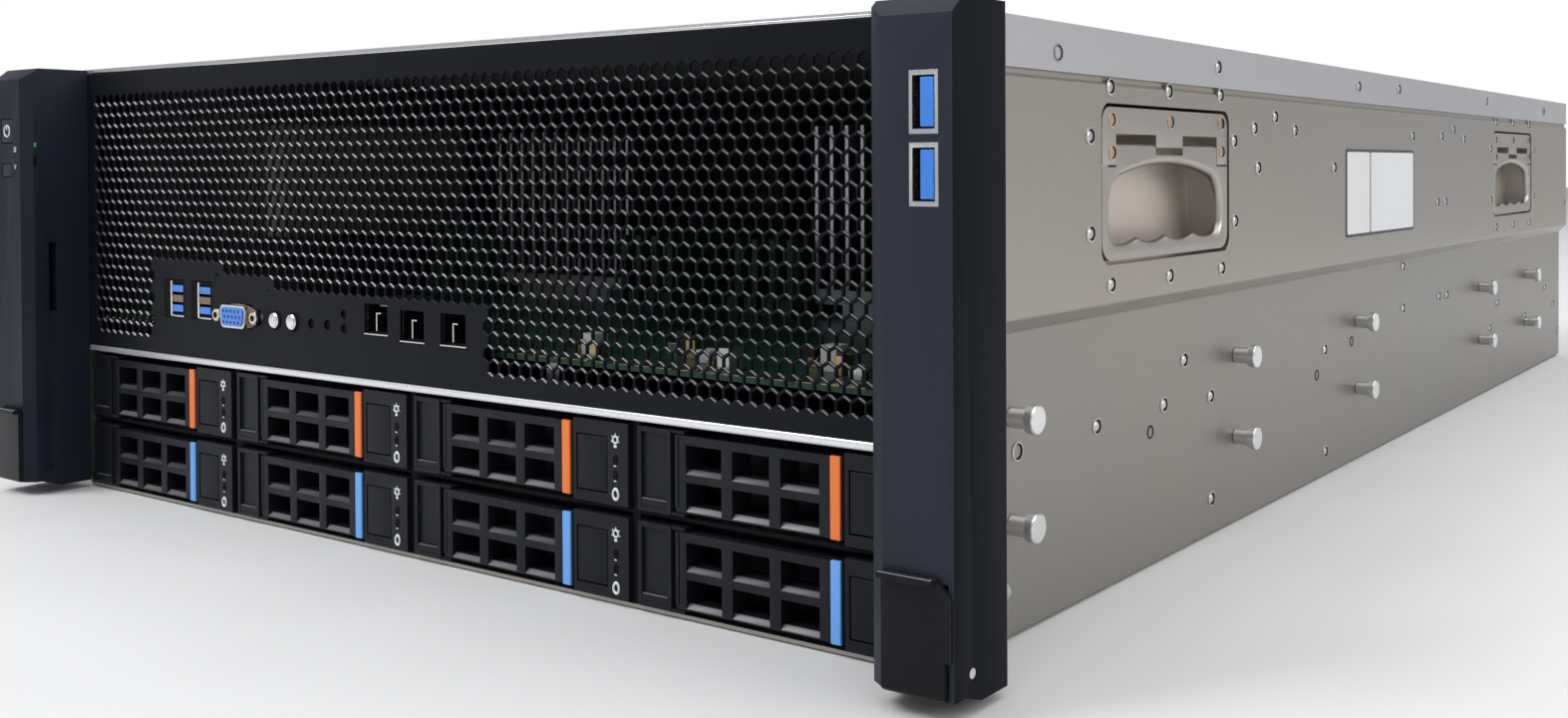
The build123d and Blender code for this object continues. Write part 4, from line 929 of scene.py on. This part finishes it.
lamp_slot = bar("lamp_slot", (-215.1, rack_y - 21.2, 134.8), (-214.9, rack_y - 19.8, 139.0), 0.1)
ear_marks += [coloured(ear_lamp, lamp_green), coloured(lamp_slot, shadow_black)]
finished(joined("ear_marks", ear_marks), "chassis", None, "ear_plastic")

# Bright hem over the drive bays and a thin one over the grille
low_hem = bar("low_hem", (-214.4, rack_y - 0.5, 57.35), (214.4, rack_y + 1.4, 59.6), 0.6, 3)
top_hem = bar("top_hem", (-214.4, rack_y + 0.1, 173.45), (214.4, rack_y + 2.6, 174.3), 0.25)
hems = [coloured(low_hem, hem_white), coloured(top_hem, bright_steel)]
finished(joined("front_hems", hems), "chassis", None, "cage_steel")


# Fasteners of the walls: places are measured back from the rack plane and up from the floor
def head(name, radius, proud, recess, dome, material, shaded_core):
    """A round head that faces right at the origin, pressed in the middle, with painted shade in its recess,
    and on its core too if asked.
    """
    piece = rod(name, (proud / 2 - 0.2, 0, 0), crosswise, radius, proud + 0.4, 16)
    edit_where(piece, "FACE", lambda face: face.normal.x > 0.9)
    bpy.ops.mesh.inset(thickness=0.18 * radius * mm, depth=0.12 * mm)
    bpy.ops.mesh.inset(thickness=0.2 * radius * mm, depth=-recess * mm)
    bpy.ops.mesh.inset(thickness=0.18 * radius * mm, depth=dome * mm)
    leave_edit()

    def in_painted_shade(face):
        """Whether a face belongs to the recess, or to a shaded core, and so gets painted shade."""
        reach = math.hypot(face.center.y, face.center.z)
        slope = abs(face.normal.x) < 0.8 and reach < 0.78 * radius * mm
        return slope and face.normal.x >= 0 or shaded_core and reach < 0.45 * radius * mm

    return partly(coloured(piece, material), shadow_black, in_painted_shade)


def fastened(name, kind, places, x, body="chassis", slot="chassis_steel"):
    """Copies of one head at places on the right wall, and again on the left one."""
    heads = [copied(kind, "head", (x, rack_y + depth, z)) for depth, z in places]
    right = joined(name + "_right", heads)
    finished(mirrored(right, name + "_left"), body, None, slot)
    finished(right, body, None, slot)


rivet_head = head("rivet_head", 2.75, 0.3, 0.45, 0.3, rivet_steel, False)
screw_head = head("screw_head", 2.9, 0.3, 0.5, -0.3, rivet_steel, True)
dark_screw = head("dark_screw", 2.6, 0.2, 0.5, -0.3, dark_zinc, True)
copper_screw = head("copper_screw", 2.4, 0.2, 0.5, -0.2, yellow_zinc, True)
# The punched holes are black all over: painted shade standing for the holes.
punched_hole = head("punched_hole", 2.3, 0.1, 0.6, -0.5, shadow_black, True)

handle_ring = [(89.1, 157.9), (130.5, 158.2), (172.6, 158.5), (76.1, 142.5), (76.3, 113.0)]
handle_ring += [(184.8, 142.4), (185.5, 113.2), (89.5, 96.7), (131.0, 96.8), (173.6, 96.8)]
handle_step = pan_middles[1] - pan_middles[0]
upper_rivets = handle_ring + [(depth + handle_step, z) for depth, z in handle_ring]
upper_rivets += [(203.9, 147.4), (224.6, 152.2), (207.5, 132.6), (245.5, 147.3), (291.3, 132.4)]
upper_rivets += [(403.9, 147.5), (454.7, 148.0), (477.1, 152.1), (498.0, 147.2), (447.6, 114.2)]
upper_rivets += [(462.2, 114.1), (757.0, 107.1)]
lower_rivets = [(88.6, 52.4), (136.1, 52.6), (152.2, 65.9), (174.5, 50.3), (175.0, 13.1), (293.0, 54.3)]
lower_rivets += [(404.1, 83.4), (404.1, 62.8), (293.6, 10.4), (662.0, 36.5), (573.7, 36.8), (746.5, 37.1)]
lower_rivets += [(761.2, 17.9), (592.1, 50.5), (720.5, 50.4)]
fastened("upper_rivets", rivet_head, upper_rivets, upper_half)
fastened("lower_rivets", rivet_head, lower_rivets, lower_half)
fastened("lower_screws", screw_head, [(41.4, 52.4)], lower_half)
fastened("lower_holes", punched_hole, [(125.9, 44.8), (283.5, 44.4), (327.9, 54.2)], lower_half)
fastened("lower_bosses", rivet_head, [(467.1, 63.9), (481.9, 63.4)], lower_half)
hinge_places = [(90.9, 147.8), (132.9, 148.0), (174.5, 148.4), (91.2, 137.6), (174.8, 138.3)]
hinge_places += [(depth + handle_step, z) for depth, z in hinge_places]
fastened("hinge_screws", copper_screw, hinge_places, handle_outer, "chassis", "pan_steel")
fastened("front_flange_screws", dark_screw, [(57.0, 166.4)], upper_half, "top_cover_front", "cover_steel")
front_small = [(170.7, 168.4), (323.4, 168.2)]
fastened("front_flange_rivets", rivet_head, front_small, upper_half, "top_cover_front", "cover_steel")
rear_small = [(381.8, 169.4), (545.9, 169.3)]
fastened("rear_flange_rivets", rivet_head, rear_small, upper_half, "top_cover_rear", "cover_steel")
fastened("rear_flange_screws", dark_screw, [(694.6, 168.0)], upper_half, "top_cover_rear", "cover_steel")


# Countersunk screws of the top covers
def top_heads(name, depths, body):
    """Rows of countersunk heads on top of a cover, at these depths behind the rack plane."""
    heads = []
    for depth in depths:
        for x in (-205.0, -102.0, 0.0, 102.0, 205.0):
            piece = copied(screw_head, "head")
            piece.data.transform(Matrix.Rotation(-math.pi / 2, 4, "Y"))
            place = (x * mm, (rack_y + depth) * mm, (chassis_top - 0.25) * mm)
            piece.data.transform(Matrix.Translation(place))
            heads.append(piece)
    finished(joined(name, heads), body, None, "cover_steel")


top_heads("front_cover_screws", (14.0, 350.0), "top_cover_front")
top_heads("rear_cover_screws", (377.0, 754.0), "top_cover_rear")

# Bare plate on the right wall: a dark border, two white fields
back_low = (upper_half - 0.1, rack_y + 306.3, 101.7)
back_high = (upper_half + 0.18, rack_y + 405.7, 140.4)
plate_back = bar("plate_back", back_low, back_high)
plate_parts = [coloured(rounded_along(plate_back, "X", 1.6, 4), plate_grey)]
for name, start, end in (("left_field", 307.7, 338.3), ("right_field", 339.7, 404.3)):
    white_field = bar(name, (upper_half, rack_y + start, 103.0), (upper_half + 0.26, rack_y + end, 139.1))
    plate_parts.append(coloured(rounded_along(white_field, "X", 1.0, 4), plate_white))
finished(joined("bare_plate", plate_parts), "chassis", None, "chassis_steel")

# Small parts along the front edge of the motherboard, seen through the grille, none behind the sockets
board_z = 72.5
part_count = 44
part_pitch = 9.2
first_part = -200.0
part_materials = (board_gold, fin_aluminium, dark_plastic, board_gold, plate_white)
board_parts = []
for index in range(part_count):
    x = first_part + index * part_pitch
    if -165 < x < 40:
        continue
    wide = 3.0 + (index * 7 % 5)
    tall = 2.0 + (index * 5 % 7)
    back = rack_y + 12 + (index * 11 % 6) * 5
    part = bar("part", (x, back, board_z), (x + wide, back + 6, board_z + tall), 0.3)
    board_parts.append(coloured(part, part_materials[index % 5]))
    edge_low = (x - 1.5, rack_y + 6.5, board_z - 0.05)
    edge_high = (x + 5.0, rack_y + 9.5, board_z + 0.25)
    board_parts.append(coloured(bar("edge", edge_low, edge_high, 0.05, 1), board_gold))
finished(joined("board_parts", board_parts), "chassis", None, "board_green")

# Supplies: fan guards, inlet pins and a lamp
supply_left = -205.0
supply_pitch = 77.0
supply_low = 1.6
for index in (0, 1):
    left = supply_left + index * supply_pitch
    face = rear_y + 1.0
    x = left + 52.0
    y = face - 0.6
    z = 21.6
    hub = Vector((x, y, z)) * mm
    guard = [ring("guard", (x, y, z), radius, 0.45, shell_steel, 1.0, 28) for radius in (3.0, 5.6, 8.2)]
    for eighth in range(4):
        spoke = bar("spoke", (x - 8.6, y - 0.3, z - 0.35), (x + 8.6, y + 0.3, z + 0.35), 0.15)
        turn = Matrix.Rotation(eighth * math.pi / 4, 4, "Y")
        spoke.data.transform(Matrix.Translation(hub) @ turn @ Matrix.Translation(-hub))
        guard.append(coloured(spoke, shell_steel))
    for across, up in ((22.5, 15.0), (29.5, 22.0), (36.5, 15.0)):
        low = (left + across - 1, face - 16.5, supply_low + up - 2.5)
        high = (left + across + 1, face - 2.5, supply_low + up + 2.5)
        guard.append(coloured(bar("pin", low, high, 0.4), bright_steel))
    for start, low, end, high in (
        (15.2, 8.8, 43.8, 9.8),
        (15.2, 31.4, 43.8, 32.4),
        (15.2, 8.8, 16.2, 32.4),
        (42.8, 8.8, 43.8, 32.4),
    ):
        rim = bar("rim", (left + start, face - 0.2, low), (left + end, face + 0.5, high), 0.25)
        guard.append(coloured(rim, dark_plastic))
    lamp = rod("lamp", (left + 62.0, face, 36.5), fore_aft, 1.3, 0.8, 16, 0.2)
    guard.append(coloured(lamp, lamp_green))
    name = "power_supply_%d" % (index + 1)
    finished(joined(name + "_trim", guard), name, None, "supply_metal")

# Brackets of the rear cards, with slots
card_pitch = 40.64
card_count = 8
bracket_low = 80.5
bracket_high = 166.5
bracket = bar("bracket", (-15.4, 386.3, bracket_low), (15.4, 387.1, bracket_high), 0.15)
slots = []
for row in range(9):
    z = bracket_low + 8 + row * 8.6
    slot_bar = bar("slot", (-11.5, 384.0, z), (11.5, 389.0, z + 3.6))
    slots.append(rounded_along(slot_bar, "Y", 1.7, 3))
cut(bracket, *slots)
coloured(bracket, cover_steel)
brackets = [copied(bracket, "bracket", (card_pitch * (index - 3.5), 0, 0)) for index in range(card_count)]
finished(joined("card_brackets", brackets), "chassis", None, "rear_steel")
for spare in (bracket, rivet_head, screw_head, dark_screw, copper_screw, punched_hole):
    bpy.data.objects.remove(spare)

# Camera at the place the photo was taken from
image_width = 1573
image_height = 720
focal = 1462.3
axis_point = (987.5, 184.5)
yaw, pitch, roll = 0.5743, 0.0126, 0.0034
forward = Vector((-math.sin(yaw) * math.cos(pitch), math.cos(yaw) * math.cos(pitch), -math.sin(pitch)))
side = forward.cross(Vector((0, 0, 1))).normalized()
down = forward.cross(side)
turned_side = math.cos(roll) * side + math.sin(roll) * down
turned_down = -math.sin(roll) * side + math.cos(roll) * down
lens = bpy.data.cameras.new("camera")
lens.sensor_fit = "HORIZONTAL"
lens.sensor_width = 36
lens.lens = focal / image_width * lens.sensor_width
lens.shift_x = (image_width / 2 - axis_point[0]) / image_width
lens.shift_y = (axis_point[1] - image_height / 2) / image_width
lens.clip_start = 0.01
lens.clip_end = 100
camera = bpy.data.objects.new("camera", lens)
axes = Matrix((turned_side, -turned_down, -forward)).transposed()
camera.matrix_world = Matrix.Translation((0.43576, -0.31058 + rack_y * mm, 0.13368)) @ axes.to_4x4()
scene.collection.objects.link(camera)
scene.camera = camera

# Floor, lights and surroundings
bpy.ops.object.select_all(action="DESELECT")
bpy.ops.mesh.primitive_plane_add(size=16, location=(0, 0, -0.0005))
floor = named("floor")
paper = finish("paper", (0.64, 0.64, 0.64), (0.66, 0.66, 0.66), 0, 0.8, 300, 0.00001)
floor.data.materials.append(paper)


def panel_light(name, place, aim, width, height, power, colour=(1, 1, 1)):
    """A soft rectangular lamp."""
    lamp = bpy.data.lights.new(name, "AREA")
    lamp.shape = "RECTANGLE"
    lamp.size = width
    lamp.size_y = height
    lamp.energy = power
    lamp.color = colour
    holder = bpy.data.objects.new(name, lamp)
    holder.location = place
    holder.rotation_euler = (Vector(aim) - Vector(place)).to_track_quat("-Z", "Y").to_euler()
    scene.collection.objects.link(holder)


panel_light("top_light", (0.2, -0.2, 2.6), (0, 0, 0.1), 4.4, 4.4, 72)
panel_light("front_light", (-1.1, -1.7, 2.2), (0, -0.35, 0.1), 1.0, 1.0, 34)
panel_light("side_light", (2.6, 0.4, 1.2), (0.2, 0.1, 0.1), 2.0, 1.2, 22, (1.0, 0.97, 0.93))

world = bpy.data.worlds.new("surroundings")
scene.world = world
world.use_nodes = True
tree = world.node_tree
tree.nodes.clear()
out = tree.nodes.new("ShaderNodeOutputWorld")
soft = tree.nodes.new("ShaderNodeBackground")
soft.inputs["Color"].default_value = (0.86, 0.88, 0.92, 1)
soft.inputs["Strength"].default_value = 0.62
white = tree.nodes.new("ShaderNodeBackground")
white.inputs["Color"].default_value = (1, 1, 1, 1)
white.inputs["Strength"].default_value = 1.0
path = tree.nodes.new("ShaderNodeLightPath")
mix = tree.nodes.new("ShaderNodeMixShader")
tree.links.new(path.outputs["Is Camera Ray"], mix.inputs["Fac"])
tree.links.new(soft.outputs["Background"], mix.inputs[1])
tree.links.new(white.outputs["Background"], mix.inputs[2])
tree.links.new(mix.outputs["Shader"], out.inputs["Surface"])

scene.view_settings.view_transform = "Standard"

bpy.context.view_layer.update()
